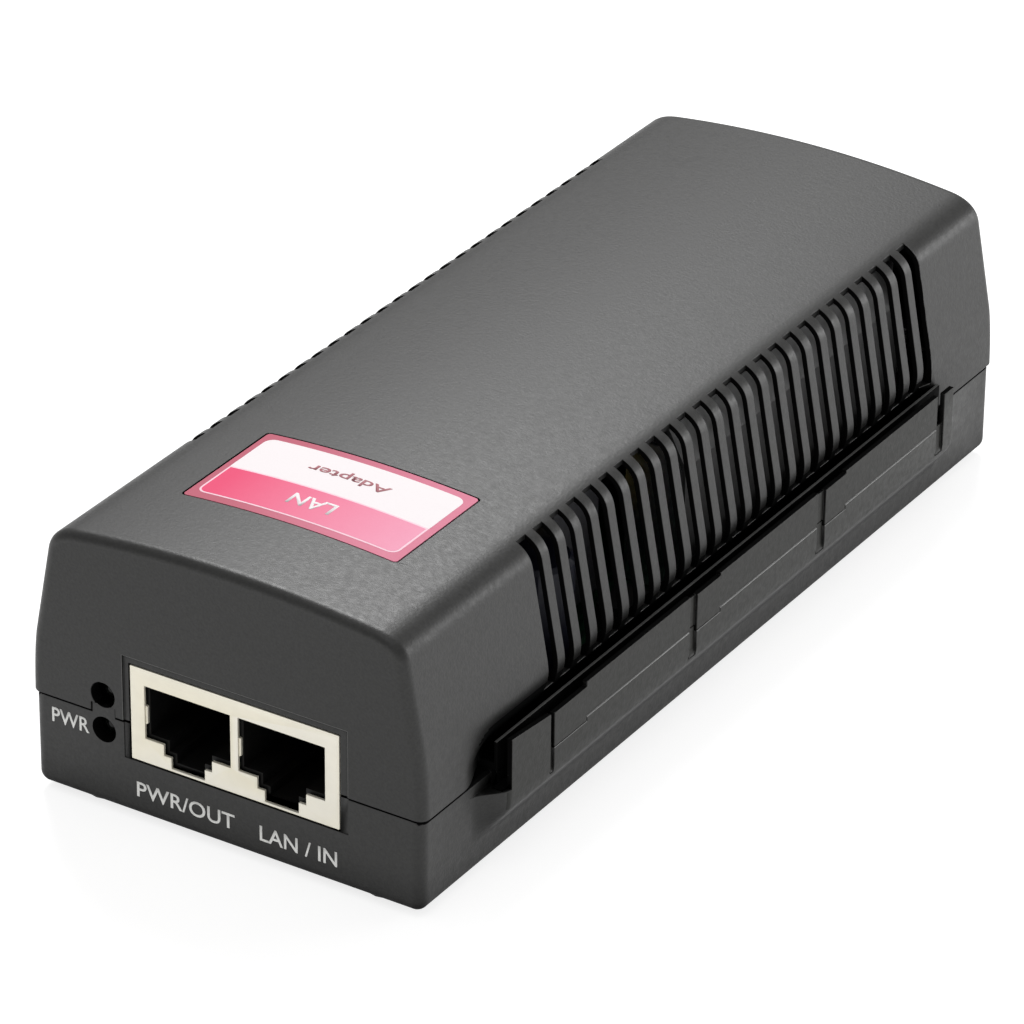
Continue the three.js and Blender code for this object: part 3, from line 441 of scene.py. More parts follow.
CASE_COLOR = (0.0215, 0.0214, 0.0205)
# The rail's outer wall: the case colour painted darker, as painted shade for the weaker light it gets from
# below.
RAIL_SHADED_COLOR = (0.0132, 0.0134, 0.0112)
# The case plastic, with painted shade in its corners and on faces that look down.
case_plastic = moulded("case_plastic", CASE_COLOR, 0.44, 2500.0, 0.65, 0.42, True)
# The same plastic with less specular, as painted shade on the rail's outer wall.
case_rail_shaded = moulded("case_rail_shaded", RAIL_SHADED_COLOR, 0.44, 2500.0, 0.5, 0.25, True)
# Painted highlight: a paler, glossier copy of the case plastic for thin lit edges.
case_painted_highlight = moulded("case_painted_highlight", (0.07, 0.07, 0.068), 0.35, 2500.0, 0.2)
# Painted shade: a near-black copy of the plastic for faces that lie in shadow.
case_painted_shade = smooth_plastic("case_painted_shade", (0.0025, 0.0025, 0.0025), 0.7, 0.03)
# Black plastic made darker than the other black parts so the ports' insides read black: its own colour with
# painted shade.
jack_black_shaded = smooth_plastic("jack_black_shaded", (0.004, 0.004, 0.004), 0.5, 0.2)
inlet_black = smooth_plastic("inlet_black", (0.012, 0.012, 0.012), 0.38)
black_epoxy = moulded("black_epoxy", (0.012, 0.012, 0.012), 0.5, 2800.0, 0.3)
rubber = moulded("rubber", (0.014, 0.014, 0.014), 0.8, 1600.0, 0.5, 0.3)
barrier_sheet = smooth_plastic("barrier_sheet", (0.03, 0.03, 0.03), 0.5)
ferrite = moulded("ferrite", (0.045, 0.045, 0.05), 0.55, 1500.0, 0.6)
capacitor_box = smooth_plastic("capacitor_box", (0.62, 0.4, 0.05), 0.45)
sleeve = smooth_plastic("sleeve", (0.006, 0.007, 0.016), 0.4)
shield_metal = sheet_metal("shield_metal", (0.81, 0.765, 0.625), 0.4, metallic=0.45)
plated_steel = sheet_metal("plated_steel", (0.62, 0.62, 0.60), 0.3)
nickel = sheet_metal("nickel", (0.74, 0.71, 0.64), 0.24)
gold = sheet_metal("gold", (0.72, 0.5, 0.18), 0.25)
aluminium = sheet_metal("aluminium", (0.72, 0.73, 0.74), 0.36)
foil = sheet_metal("foil", (0.5, 0.51, 0.52), 0.38, (1600.0, 60.0, 1600.0), 0.05, 0.6)
blue_epoxy = dipped("blue_epoxy", (0.03, 0.1, 0.4))
green_epoxy = dipped("green_epoxy", (0.03, 0.15, 0.06))
solder_mask = laminate("solder_mask")
copper_wire = wound("copper_wire", (0.6, 0.19, 0.05), 900.0, 0.28, 0.9, "X")
winding_tape = wound("winding_tape", (0.65, 0.5, 0.06), 160.0, 0.35, 0.0)
fuse_glass = clear_glass("fuse_glass")
led_lens = lens("led_lens", (0.004, 0.0045, 0.004))
ink = printed("ink_white", (0.72, 0.72, 0.70), roughness=0.5)
dark_ink = printed("ink_dark", (0.03, 0.03, 0.035), roughness=0.5)
label_rose = printed("label_rose", (0.50, 0.13, 0.18), (0.66, 0.21, 0.30), (-0.010, 0.012))
label_white = printed("label_white", (0.85, 0.80, 0.81))
label_pink = printed("label_pink", (0.78, 0.09, 0.19), (0.82, 0.34, 0.47), (-0.013, 0.015))
label_pale = printed("label_pale", (0.9, 0.62, 0.70))
label_words = printed("label_words", (0.42, 0.18, 0.20))


# ---- mesh building


def new_object(name, bm):
    mesh = bpy.data.meshes.new(name)
    bm.to_mesh(mesh)
    bm.free()
    thing = bpy.data.objects.new(name, mesh)
    bpy.context.scene.collection.objects.link(thing)
    return thing


def from_faces(name, points, faces):
    """A mesh from points in millimetres and faces, with its normals facing out."""
    bm = bmesh.new()
    corners = [bm.verts.new(place(*point)) for point in points]
    for face in faces:
        bm.faces.new([corners[i] for i in face])
    bmesh.ops.recalc_face_normals(bm, faces=bm.faces)
    return new_object(name, bm)


def loft(name, rings):
    """A closed skin over rings of equal length, with a flat cap on each end."""
    count = len(rings[0])
    points = [point for ring in rings for point in ring]
    faces = [tuple(range(count)), tuple(range(len(points) - count, len(points)))]
    for level in range(len(rings) - 1):
        for i in range(count):
            j = (i + 1) % count
            low, high = level * count, (level + 1) * count
            faces.append((low + i, low + j, high + j, high + i))
    return from_faces(name, points, faces)


def box(name, x, y, z):
    return along_y(name, [(x[0], z[0]), (x[1], z[0]), (x[1], z[1]), (x[0], z[1])], y)


def along_y(name, section, y):
    """A section of x,z points carried along y."""
    return loft(name, [[(px, side, pz) for px, pz in section] for side in y])


def along_x(name, section, x):
    """A section of y,z points carried along x."""
    return loft(name, [[(side, py, pz) for py, pz in section] for side in x])


def along_z(name, section, z):
    """A section of x,y points carried along z."""
    return loft(name, [[(px, py, side) for px, py in section] for side in z])


def circle(centre, radius, count=48):
    steps = [2 * math.pi * i / count for i in range(count)]
    return [(centre[0] + radius * math.cos(t), centre[1] + radius * math.sin(t)) for t in steps]


def mirrored(thing):
    copy = thing.copy()
    copy.data = thing.data.copy()
    copy.data.transform(Matrix.Scale(-1, 4, (1, 0, 0)))
    copy.data.flip_normals()
    bpy.context.scene.collection.objects.link(copy)
    return copy


def merge(things):
    """Several separate solids as one object."""
    bm = bmesh.new()
    for thing in things:
        bm.from_mesh(thing.data)
        bpy.data.objects.remove(thing)
    return new_object("merged", bm)


def settle(thing):
    """The modifiers' result becomes the mesh."""
    bpy.context.view_layer.update()
    graph = bpy.context.evaluated_depsgraph_get()
    mesh = bpy.data.meshes.new_from_object(thing.evaluated_get(graph))
    thing.modifiers.clear()
    thing.data = mesh


def combine(target, other, operation="DIFFERENCE"):
    modifier = target.modifiers.new("boolean", "BOOLEAN")
    modifier.operation = operation
    modifier.solver = "MANIFOLD"
    modifier.object = other
    settle(target)
    bpy.data.objects.remove(other)


def combine_both(target, right, operation="DIFFERENCE"):
    """Combines a right-hand solid, and then its mirror image, with a target."""
    left = mirrored(right)
    combine(target, right, operation)
    combine(target, left, operation)


def add_bevel(thing, width, angle):
    bevel = thing.modifiers.new("bevel", "BEVEL")
    bevel.width = width * MM
    bevel.segments = 2
    bevel.limit_method = "ANGLE"
    bevel.angle_limit = math.radians(angle)
    bevel.use_clamp_overlap = False
    bevel.harden_normals = True


def even_out(thing):
    """Flat faces shade flat right up to their rounded edges."""
    thing.data.shade_smooth()
    thing.data.set_sharp_from_angle(angle=math.radians(50))
    weighted = thing.modifiers.new("normals", "WEIGHTED_NORMAL")
    weighted.keep_sharp = True
    weighted.weight = 100
    settle(thing)


def soften(thing, width=EDGE_ROUND):
    """Rounds the sharp edges by a width in millimetres."""
    thing.data.shade_smooth()
    add_bevel(thing, width, 35)
    settle(thing)


def smooth_like(thing, skin):
    """Corners that lie on a smooth, uncut skin take that skin's normals."""
    mesh, pattern = thing.data, skin.data
    pattern.shade_smooth()
    pattern.set_sharp_from_angle(angle=math.radians(30))
    tree = BVHTree.FromPolygons([v.co for v in pattern.vertices], [f.vertices for f in pattern.polygons])
    normals = [corner.vector.copy() for corner in mesh.corner_normals]
    for corner, loop in enumerate(mesh.loops):
        spot = mesh.vertices[loop.vertex_index].co
        close = 0.97
        for _, normal, index, _ in tree.find_nearest_range(spot, 0.03 * MM):
            if normal.dot(mesh.corner_normals[corner].vector) < close:
                continue
            face = pattern.polygons[index]
            corners = [pattern.vertices[i].co for i in face.vertices]
            weights = poly_3d_calc(corners, spot)
            found = Vector((0, 0, 0))
            for weight, i in zip(weights, face.loop_indices):
                found += weight * pattern.corner_normals[i].vector
            close = normal.dot(mesh.corner_normals[corner].vector)
            normals[corner] = found.normalized()
    mesh.normals_split_custom_set(normals)


# The case plastic, then painted shade, painted highlight and the rail's shaded copy, in slot order.
SHELL_MATERIALS = (case_plastic, case_painted_shade, case_painted_highlight, case_rail_shaded)
PAINTED_SHADE_INDEX, PAINTED_HIGHLIGHT_INDEX, RAIL_SHADED_INDEX = 1, 2, 3


def share_out(thing, in_shade, bright):
    """Faces that one rule finds in shadow get painted shade, another rule picks edges for a painted
    highlight, and the rail's outer faces get its shaded copy.
    """
    thing.data.materials.clear()
    for material in SHELL_MATERIALS:
        thing.data.materials.append(material)
    for face in thing.data.polygons:
        x, y, z = face.center / MM
        normal = face.normal
        outward = normal.x if x > 0 else -normal.x
        spot = (abs(x), y, z - CASE_Z / MM, outward, normal.y, normal.z)
        if bright(*spot):
            face.material_index = PAINTED_HIGHLIGHT_INDEX
        elif in_shade(*spot):
            face.material_index = PAINTED_SHADE_INDEX
        # The rail's outward faces take the darker copy: painted shade.
        elif abs(x) > RAIL_OUT - 0.4 and outward > 0.9:
            face.material_index = RAIL_SHADED_INDEX


def finish_piece(thing, name, material, body=UNIT, replaces=()):
    thing.name = name
    thing.data.name = name
    if material is not None:
        thing.data.materials.clear()
        thing.data.materials.append(material)
    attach(thing, body)
    if replaces:
        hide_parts(*replaces)
    return thing


def bend(start, control, end, count):
    """Points on a quadratic curve, from its start to just before its end."""
    points = []
    for i in range(count):
        t = i / count
        weights = ((1 - t) ** 2, 2 * t * (1 - t), t ** 2)
        ends = (start, control, end)
        points.append(tuple(sum(w * p[k] for w, p in zip(weights, ends)) for k in (0, 1)))
    return points


def steps_between(start, end, count):
    """Evenly spaced values from a start to an end, both of them included."""
    return [start + (end - start) * i / count for i in range(count + 1)]


def smoothstep(value, low, high):
    t = min(max((value - low) / (high - low), 0), 1)
    return t * t * (3 - 2 * t)


# ---- top cover


def cover_outline():
    """The cover's right half, from the parting line up over the shoulder to the middle."""
    points = bend(FOOT, WAIST_CONTROL, WAIST, 22)
    xs, zs = (steps_between(start, end, 10) for start, end in zip(WAIST, SIDE_END))
    points += list(zip(xs, zs))[:-1]
    points += bend(SIDE_END, SHOULDER_CONTROL, SHOULDER_END, 14)
    return points + [(x, crown(x)) for x in steps_between(SHOULDER_END[0], 0.0, 14)]


def crown(x):
    return TOP - CROWN_RISE * (x / SHOULDER_END[0]) ** 2


def inset(points, distance):
    """An open outline of x,z points moved to its left side as it runs."""
    moved = []
    for i, (x, z) in enumerate(points):
        before = points[max(i - 1, 0)]
        after = points[min(i + 1, len(points) - 1)]
        dx, dz = after[0] - before[0], after[1] - before[1]
        length = math.hypot(dx, dz)
        moved.append((x - distance * dz / length, z + distance * dx / length))
    return moved


def closed_section(right):
    """The right half's points and their mirror images, as one ring."""
    right = right[:-1] + [(0.0, right[-1][1])]
    return right + [(-x, z) for x, z in reversed(right[:-1])]


def cove(z):
    """How far the side curves inwards above the rail's lip."""
    return COVE_DEPTH * min(max((COVE_TOP - z) / (COVE_TOP - COVE_BOTTOM), 0), 1) ** 2


def cove_share(y):
    return smoothstep(y, *COVE_FRONT) * smoothstep(-y, -COVE_BACK[1], -COVE_BACK[0])


def cover_ring(y, distance):
    right = inset(cover_outline(), distance)
    right = [(x - cove(z) * cove_share(y), max(z, PARTING)) for x, z in right]
    return [(x, y, z) for x, z in closed_section(right)]


def end_stations(half_length):
    """Places along y, and insets of the outline there, that round the front end between flat rims."""
    turns = steps_between(0.0, math.pi / 2, 6)
    curve = [(-half_length + END_FILLET * (1 - math.cos(t)), END_FILLET * (1 - math.sin(t))) for t in turns]
    return [(-half_length, END_FILLET + END_FLAT), *curve, (-half_length + END_FILLET + END_FLAT, 0.0)]


def cover_skin():
    front = end_stations(HALF_LENGTH)
    middle = [(y, 0.0) for ramp in (COVE_FRONT, COVE_BACK) for y in steps_between(*ramp, 16)]
    back = [(-y, distance) for y, distance in reversed(front)]
    return loft("cover", [cover_ring(y, distance) for y, distance in front + middle + back])


def cover_hollow():
    """The inner space: a thin wall behind the vents, and a thicker one below their sill."""
    inner = inset(cover_outline(), COVER_WALL)
    right = [(x - cove(z), z) for x, z in inner if z > SLOT_SILL - 0.2]
    ledge = FOOT[0] - 2.9
    right = [(ledge, PARTING - 2), (ledge, right[0][1] - 0.3)] + right
    reach = HALF_LENGTH - 1.8
    return along_y("hollow", closed_section(right), (-reach, reach))


def vent_slots():
    inner, outer, above = 21.0, WALL_IN - 0.9, TOP + 2
    section = [
        (inner, SLOT_SILL), (outer, SLOT_SILL), (outer, above),
        (SLOT_TOP_X, above), (SLOT_TOP_X, 35.5), (inner, 34.4),
    ]
    slots = []
    for i in range(SLOT_COUNT):
        middle = SLOT_FIRST + i * SLOT_PITCH
        slot = along_y("slot", section, (middle - SLOT_WIDTH / 2, middle + SLOT_WIDTH / 2))
        slots += [slot, mirrored(slot)]
    return merge(slots)


JACK_MARGIN = 0.18
JACK_RECESS_DEPTH = 0.3
JACK_RECESS_LEFT = JACK_X - JACK_HALF_WIDTH - 0.98
JACK_RECESS_RIGHT = JACK_X + JACK_HALF_WIDTH + 1.4
JACK_RECESS_TOP = JACK_HIGH + 1.2


def jack_opening():
    """The jack's hole, with a shallow recess round it at the front."""
    left, right = JACK_X - JACK_HALF_WIDTH - JACK_MARGIN, JACK_X + JACK_HALF_WIDTH + JACK_MARGIN
    low, high = JACK_LOW - JACK_MARGIN, JACK_HIGH + JACK_MARGIN
    front = -HALF_LENGTH - 2
    through = box("through", (left, right), (front, JACK_BACK), (low, high))
    recess = box(
        "recess",
        (JACK_RECESS_LEFT, JACK_RECESS_RIGHT),
        (front, -HALF_LENGTH + JACK_RECESS_DEPTH),
        (low, JACK_RECESS_TOP),
    )
    combine(through, recess, "UNION")
    return through


def inlet_opening():
    return box(
        "inlet_opening",
        (-INLET_HALF_WIDTH, INLET_HALF_WIDTH),
        (HALF_LENGTH - 6, HALF_LENGTH + 2),
        (INLET_LOW, INLET_HIGH),
    )


RAIL_WALLS = (
    (-46.65, -39.1, 17.15, TAB_BOTTOM),
    (-39.1, -14.1, 17.9, FLANGE_BOTTOM),
    (-14.1, -12.4, 17.4, FLANGE_BOTTOM),
    (-12.4, -6.6, 17.5, TAB_BOTTOM),
    (-6.6, 18.5, 17.95, FLANGE_BOTTOM),
    (18.5, 20.5, 17.4, FLANGE_BOTTOM),
    (20.5, 25.85, 17.5, TAB_BOTTOM),
    (25.85, 51.0, 17.95, FLANGE_BOTTOM),
)
GROOVES = ((-14.1, -12.4), (18.5, 20.5))
END_GROOVES = ((-47.45, -46.65), (51.0, 52.9))


def swell(z):
    """How far the base's side stands out under the rail at a height."""
    return (RAIL_OUT - BASE_HALF_WIDTH) * smoothstep(z, FLARE_LOW, FLARE_HIGH)


def groove(start, end):
    """An upright groove whose floor follows the base's side down to its square lower end."""
    heights = steps_between(GROOVE_BOTTOM, GROOVE_BOTTOM + 1.2, 4) + [25]
    depths = [GROOVE_DEPTH * min(1, 0.2 + i / 2) for i in range(len(heights))]
    section = [(BASE_HALF_WIDTH + swell(z) - depth, z) for z, depth in zip(heights, depths)]
    section += [(RAIL_OUT + 1, 25), (RAIL_OUT + 1, GROOVE_BOTTOM)]
    return along_y("groove", section, (start, end))


def without_repeats(points):
    kept = [points[0]]
    for point in points[1:]:
        if point != kept[-1]:
            kept.append(point)
    return kept


def cover_rail():
    """The cover's share of the right rail: an inner lip, a flange and the outer wall in segments."""
    root = 26.9
    lip = along_y(
        "lip",
        [(root, FLANGE_BOTTOM), (LIP_OUT, FLANGE_BOTTOM), (LIP_OUT, LIP_TOP), (LIP_IN, LIP_TOP),
         (LIP_IN, FLANGE_TOP), (root, FLANGE_TOP)],
        (RAIL_FRONT, RAIL_BACK),
    )
    upper = without_repeats([(y, top) for start, end, top, _ in RAIL_WALLS for y in (start, end)])
    lower = without_repeats([(y, bottom) for start, end, _, bottom in RAIL_WALLS for y in (start, end)])
    wall = along_x("wall", lower + upper[::-1], (WALL_IN, RAIL_OUT))
    for start, end in GROOVES:
        combine(wall, groove(start, end))
    ceiling = [(lower[-1][0], FLANGE_TOP), (lower[0][0], FLANGE_TOP)]
    flange = along_x("flange", lower + ceiling, (LIP_OUT - 0.2, RAIL_OUT - 0.62))
    combine(wall, flange, "UNION")
    combine(wall, lip, "UNION")
    return wall


def shaded_in_rail(x, y, z, nx, ny, nz):
    """The channel, the wall's top and the rail's front end lie in shadow."""
    along = RAIL_FRONT + 0.05 < y < RAIL_BACK - 0.05
    channel = along and LIP_OUT - 0.05 < x < WALL_IN + 0.05 and CHANNEL_FLOOR - 0.3 < z < LIP_TOP - 0.05
    wall_top = along and x > WALL_IN and nz > 0.9 and z > LIP_TOP - 0.3
    end = ny < -0.9 and abs(y - RAIL_FRONT) < 0.1 and x > BASE_HALF_WIDTH - 2
    return channel or wall_top or end


def shaded_in_bore(x, y, z, ny):
    """The walls of the two round holes for the status lights, which get painted shade."""
    height = min(abs(z - height) for height in LED_HEIGHTS)
    near = math.hypot(x + LED_X, height) < LED_RADIUS + 0.3
    return near and -71.8 < y < -66 and abs(ny) < 0.3


def shaded_in_cover(x, y, z, nx, ny, nz):
    """The slots' sides and everything behind the outer wall, which get painted shade."""
    first, last = SLOT_FIRST - SLOT_PITCH, SLOT_FIRST + SLOT_COUNT * SLOT_PITCH
    slot_side = first < y < last and SLOT_SILL < z and x > 21 and abs(ny) > 0.9
    behind = abs(y) < HALF_LENGTH - 1.5 and (nz < -0.2 or nx < -0.2) and z > SLOT_SILL
    return slot_side or behind or shaded_in_bore(x, y, z, ny) or shaded_in_rail(x, y, z, nx, ny, nz)


def jack_lip(x, y, z, ny):
    """The rounded edge of the recess round the jack."""
    side = min(abs(x + JACK_RECESS_LEFT), abs(x - JACK_RECESS_RIGHT)) < 0.15 and z < JACK_RECESS_TOP + 0.1
    top = abs(z - JACK_RECESS_TOP) < 0.15 and x < JACK_RECESS_RIGHT + 0.1
    return (side or top) and abs(y + HALF_LENGTH) < 0.15 and -0.97 < ny < -0.2


def painted_highlight_in_cover(x, y, z, nx, ny, nz):
    """The lip's top, the slots' sills and the edge round the jack get a painted highlight."""
    lip = nz > 0.4 and LIP_IN - 0.1 < x < LIP_OUT + 0.1 and abs(z - LIP_TOP) < 0.12 and nx > -0.5
    sill = nz > 0.3 and nx > 0.2 and 25 < x < 29 and abs(z - SLOT_SILL) < 0.15
    return lip or sill or jack_lip(x, y, z, ny)


def led_bore(height):
    return along_y("bore", circle((LED_X, height), LED_RADIUS), (-HALF_LENGTH - 1, -HALF_LENGTH + 4))


def label_recess():
    grow = 0.17
    corner = rounded(LABEL_MIDDLE, (LABEL_HALF[0] + grow, LABEL_HALF[1] + grow), 0.6)
    return crown_solid("recess", corner, -0.3, 1.0)


def make_cover():
    skin = cover_skin()
    cover = cover_skin()
    combine(cover, cover_hollow())
    combine(cover, vent_slots())
    combine_both(cover, cover_rail(), "UNION")
    combine(cover, jack_opening())
    combine(cover, inlet_opening())
    upper = LED_HEIGHTS[1]
    combine(cover, led_bore(upper))
    throat = box(
        "throat",
        (LED_X - LED_RADIUS - 0.03, LED_X + LED_RADIUS + 0.03),
        (-HALF_LENGTH - 1, -HALF_LENGTH + 4),
        (PARTING - 1, upper - 1.45),
    )
    combine(cover, throat)
    combine(cover, label_recess())
    soften(cover)
    smooth_like(cover, skin)
    share_out(cover, shaded_in_cover, painted_highlight_in_cover)
    bpy.data.objects.remove(skin)
    finish_piece(cover, "cover_shell", None, replaces=("top_cover",))


# ---- bottom case


def base_outline():
    """The base's right half, from the top edge down the side and round to the middle of the floor."""
    heights = [BASE_TOP - RIM_CHAMFER, CHANNEL_FLOOR + 0.01, CHANNEL_FLOOR]
    heights += [FLARE_HIGH + 0.3] + steps_between(GROOVE_BOTTOM - 0.3, BASE_EDGE, 14)[:-1]
    points = [(BASE_HALF_WIDTH - RIM_CHAMFER, BASE_TOP)] + [(BASE_HALF_WIDTH, z) for z in heights]
    for angle in steps_between(0.0, math.pi / 2, 8):
        points.append((
            BASE_HALF_WIDTH - BASE_EDGE * (1 - math.cos(angle)),
            BASE_EDGE * (1 - math.sin(angle)),
        ))
    points.append((0.0, 0.0))
    return points


def flare(y, z):
    """How far the side swells outwards under the rail. In front of it the swelling ends in a ledge."""
    share = smoothstep(y, FLARE_FRONT, RAIL_FRONT) * smoothstep(-y, -FLARE_BACK, -RAIL_BACK)
    if y < RAIL_FRONT and z > CHANNEL_FLOOR:
        return 0.0
    return share * swell(z)


def base_ring(y, distance):
    outline = base_outline()
    right = [(x - distance, z) for x, z in outline[:2]] + inset(outline, -distance)[2:]
    right = [(x + flare(y, z), min(max(z, 0.0), BASE_TOP)) for x, z in right]
    return [(x, y, z) for x, z in closed_section(right)]


def base_skin():
    front = end_stations(BASE_END)
    middle = steps_between(FLARE_FRONT, RAIL_FRONT - 0.002, 12) + [RAIL_FRONT]
    middle = [(y, 0.0) for y in middle + steps_between(RAIL_BACK, FLARE_BACK, 12)]
    back = [(-y, distance) for y, distance in reversed(front)]
    return loft("base", [base_ring(y, distance) for y, distance in front + middle + back])


def rail_room():
    """The space in the base's right side for the cover's flange, its tabs and the channel."""
    floor = FLANGE_BOTTOM - SEAM
    room = box("room", (26.6, RAIL_OUT + 3), (RAIL_FRONT, RAIL_BACK + 0.1), (floor, 25))
    for start, end, _, bottom in RAIL_WALLS:
        if bottom == TAB_BOTTOM:
            tab = box("tab", (27.5, RAIL_OUT + 1), (start - 0.1, end + 0.1), (bottom - SEAM, 14))
            combine(room, tab, "UNION")
    channel = box("channel", (LIP_OUT, WALL_IN), (RAIL_FRONT - 1, RAIL_BACK + 0.1), (CHANNEL_FLOOR, 14))
    combine(room, channel, "UNION")
    return room


def base_walls():
    """The two short stretches of the right rail's wall that belong to the base."""
    front = along_x(
        "front_wall",
        [(RAIL_FRONT, 9.6), (END_GROOVES[0][0], 9.6), (END_GROOVES[0][0], 17.35), (RAIL_FRONT, 18.25)],
        (WALL_IN, RAIL_OUT),
    )
    back = box("back_wall", (WALL_IN, RAIL_OUT), (END_GROOVES[1][1], RAIL_BACK), (12.0, 17.4))
    return merge([front, back])


def shaded_in_base(x, y, z, nx, ny, nz):
    # The base's top rim in the parting gap, the bores and the rail's shadowed faces get painted shade.
    rim = z > BASE_TOP - RIM_CHAMFER - 0.1 and nz > 0.5 and x < BASE_HALF_WIDTH
    return rim or shaded_in_bore(x, y, z, ny) or shaded_in_rail(x, y, z, nx, ny, nz)


def painted_highlight_in_base(x, y, z, nx, ny, nz):
    """The edge under the rail's seam gets a painted highlight."""
    return x > RAIL_OUT - 0.2 and nz > 0.3 and nx > 0.2 and TAB_BOTTOM - 0.3 < z < BASE_TOP


def spots(prefix):
    """The x,y middles of four CAD pieces, one near each corner."""
    found = []
    for corner in CORNERS:
        low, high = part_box(prefix + corner)
        found.append(((low.x + high.x) / 2 / MM, (low.y + high.y) / 2 / MM))
    return found


def make_base():
    skin = base_skin()
    base = base_skin()
    combine_both(base, rail_room())
    combine_both(base, base_walls(), "UNION")
    for start, end in GROOVES + END_GROOVES:
        combine_both(base, groove(start, end))
    for prefix, radius, depth in (FOOT_POCKET, SCREW_WELL):
        for spot in spots(prefix):
            combine(base, along_z("pocket", circle(spot, radius), (-1, depth)))
    side, end, depth = LABEL_POCKET
    combine(base, box("label_pocket", (-side, side), (-end, end), (-1, depth)))
    inner = BASE_HALF_WIDTH - BASE_WALL - 0.4
    reach = BASE_END - BASE_WALL
    combine(base, box("hollow", (-inner, inner), (-reach, reach), (BASE_FLOOR, 30)))
    soften(base)
    widest = RAIL_OUT * MM
    for vertex in base.data.vertices:
        vertex.co.x = min(max(vertex.co.x, -widest), widest)
    tab = box(
        "tab",
        (LED_X - LED_RADIUS + 0.1, LED_X + LED_RADIUS - 0.1),
        (-BASE_END, -BASE_END + 1.6),
        (BASE_TOP - 1, LED_HEIGHTS[1] - 1.5),
    )
    combine(base, tab, "UNION")
    combine(base, jack_opening())
    combine(base, inlet_opening())
    for height in LED_HEIGHTS:
        combine(base, led_bore(height))
    even_out(base)
    smooth_like(base, skin)
    share_out(base, shaded_in_base, painted_highlight_in_base)
    bpy.data.objects.remove(skin)
    finish_piece(base, "base_shell", None, replaces=("bottom_case",))


# ---- printing


def rounded(middle, half, radius, steps=6):
    """A rectangle with round corners in x,y."""
    points = []
    for turn, (sx, sy) in enumerate(((1, 1), (-1, 1), (-1, -1), (1, -1))):
        cx, cy = middle[0] + sx * (half[0] - radius), middle[1] + sy * (half[1] - radius)
        for i in range(steps + 1):
            angle = math.pi / 2 * (turn + i / steps)
            points.append((cx + radius * math.cos(angle), cy + radius * math.sin(angle)))
    return points


def slice_across(bm, low, high, step):
    """Cuts a flat mesh into strips across x, so that it can follow the crown."""
    x = low + step
    while x < high:
        geometry = bm.verts[:] + bm.edges[:] + bm.faces[:]
        bmesh.ops.bisect_plane(bm, geom=geometry, plane_co=(x, 0, 0), plane_no=(1, 0, 0), dist=1e-5)
        x += step


def thicken(bm):
    """Gives a flat mesh a second side, and returns that side's corners."""
    added = bmesh.ops.extrude_face_region(bm, geom=bm.faces[:])["geom"]
    return {item for item in added if isinstance(item, bmesh.types.BMVert)}


def drape(bm, low, high):
    """A flat mesh in x,y millimetres becomes a slab between two heights above the crown."""
    raised = thicken(bm)
    for vertex in bm.verts:
        x, y, _ = vertex.co
        vertex.co = place(x, y, crown(x) + (high if vertex in raised else low))
    bmesh.ops.recalc_face_normals(bm, faces=bm.faces)


def crown_solid(name, outline, low, high):
    bm = bmesh.new()
    bm.faces.new([bm.verts.new((x, y, 0)) for x, y in outline])
    sides = [x for x, _ in outline]
    slice_across(bm, min(sides), max(sides), 0.9)
    drape(bm, low, high)
    return new_object(name, bm)


def lettering(text, x, y, bold=0.0):
    """A word as a flat mesh that fills a rectangle; a start above its end turns the word round."""
    curve = bpy.data.curves.new("word", "FONT")
    curve.body = text
    curve.resolution_u = 4
    curve.offset = bold
    thing = bpy.data.objects.new("word", curve)
    bpy.context.scene.collection.objects.link(thing)
    bpy.context.view_layer.update()
    mesh = bpy.data.meshes.new_from_object(thing.evaluated_get(bpy.context.evaluated_depsgraph_get()))
    bpy.data.objects.remove(thing)
    bm = bmesh.new()
    bm.from_mesh(mesh)
    bmesh.ops.remove_doubles(bm, verts=bm.verts, dist=1e-4)
    for axis, (start, end) in enumerate((x, y)):
        places = [vertex.co[axis] for vertex in bm.verts]
        low, high = min(places), max(places)
        for vertex in bm.verts:
            vertex.co[axis] = start + (vertex.co[axis] - low) / (high - low) * (end - start)
    return bm


def front_legend(name, text, x, z):
    """A word printed on the front of the base."""
    bm = lettering(text, x, z, 0.01)
    raised = thicken(bm)
    for vertex in bm.verts:
        vertex.co = place(vertex.co.x, -BASE_END - (0.02 if vertex in raised else -0.02), vertex.co.y)
    bmesh.ops.recalc_face_normals(bm, faces=bm.faces)
    finish_piece(new_object(name, bm), name, ink)


def make_legends():
    front_legend("legend_power", "PWR", (-26.2, -20.5), (9.6, 11.7))
    front_legend("legend_output", "PWR/OUT", (-13.4, 1.35), (2.9, 5.1))
    front_legend("legend_input", "LAN / IN", (5.1, 16.55), (2.75, 4.95))


LABEL_SPLIT = -48.4
LABEL_INNER = ((-14.95, -56.0), (14.6, -39.8))


def band_outline(y_low, y_high, round_low, round_high, shrink=0.0):
    """Half of the label's inner field, rounded at one end only."""
    x_low, x_high = LABEL_INNER[0][0] + shrink, LABEL_INNER[1][0] - shrink
    y_low, y_high = y_low + shrink, y_high - shrink
    radius = 1.3 - shrink
    middle = ((x_low + x_high) / 2, (y_low + y_high) / 2)
    half = ((x_high - x_low) / 2, (y_high - y_low) / 2)
    points = []
    for x, y in rounded(middle, half, radius):
        if not round_low and y < y_low + radius:
            y = y_low
            x = x_high if x > middle[0] else x_low
        if not round_high and y > y_high - radius:
            y = y_high
            x = x_high if x > middle[0] else x_low
        if not points or (x, y) != points[-1]:
            points.append((x, y))
    return points[:-1] if points[0] == points[-1] else points


def label_layer(name, outline, low, high, material):
    layer = crown_solid(name, outline, low, high)
    finish_piece(layer, name, material, replaces=("top_label",))


def label_text(name, text, x, y, material, height):
    bm = lettering(text, x, y, 0.016)
    slice_across(bm, min(x), max(x), 0.9)
    drape(bm, height - 0.02, height)
    finish_piece(new_object(name, bm), name, material, replaces=("top_label",))


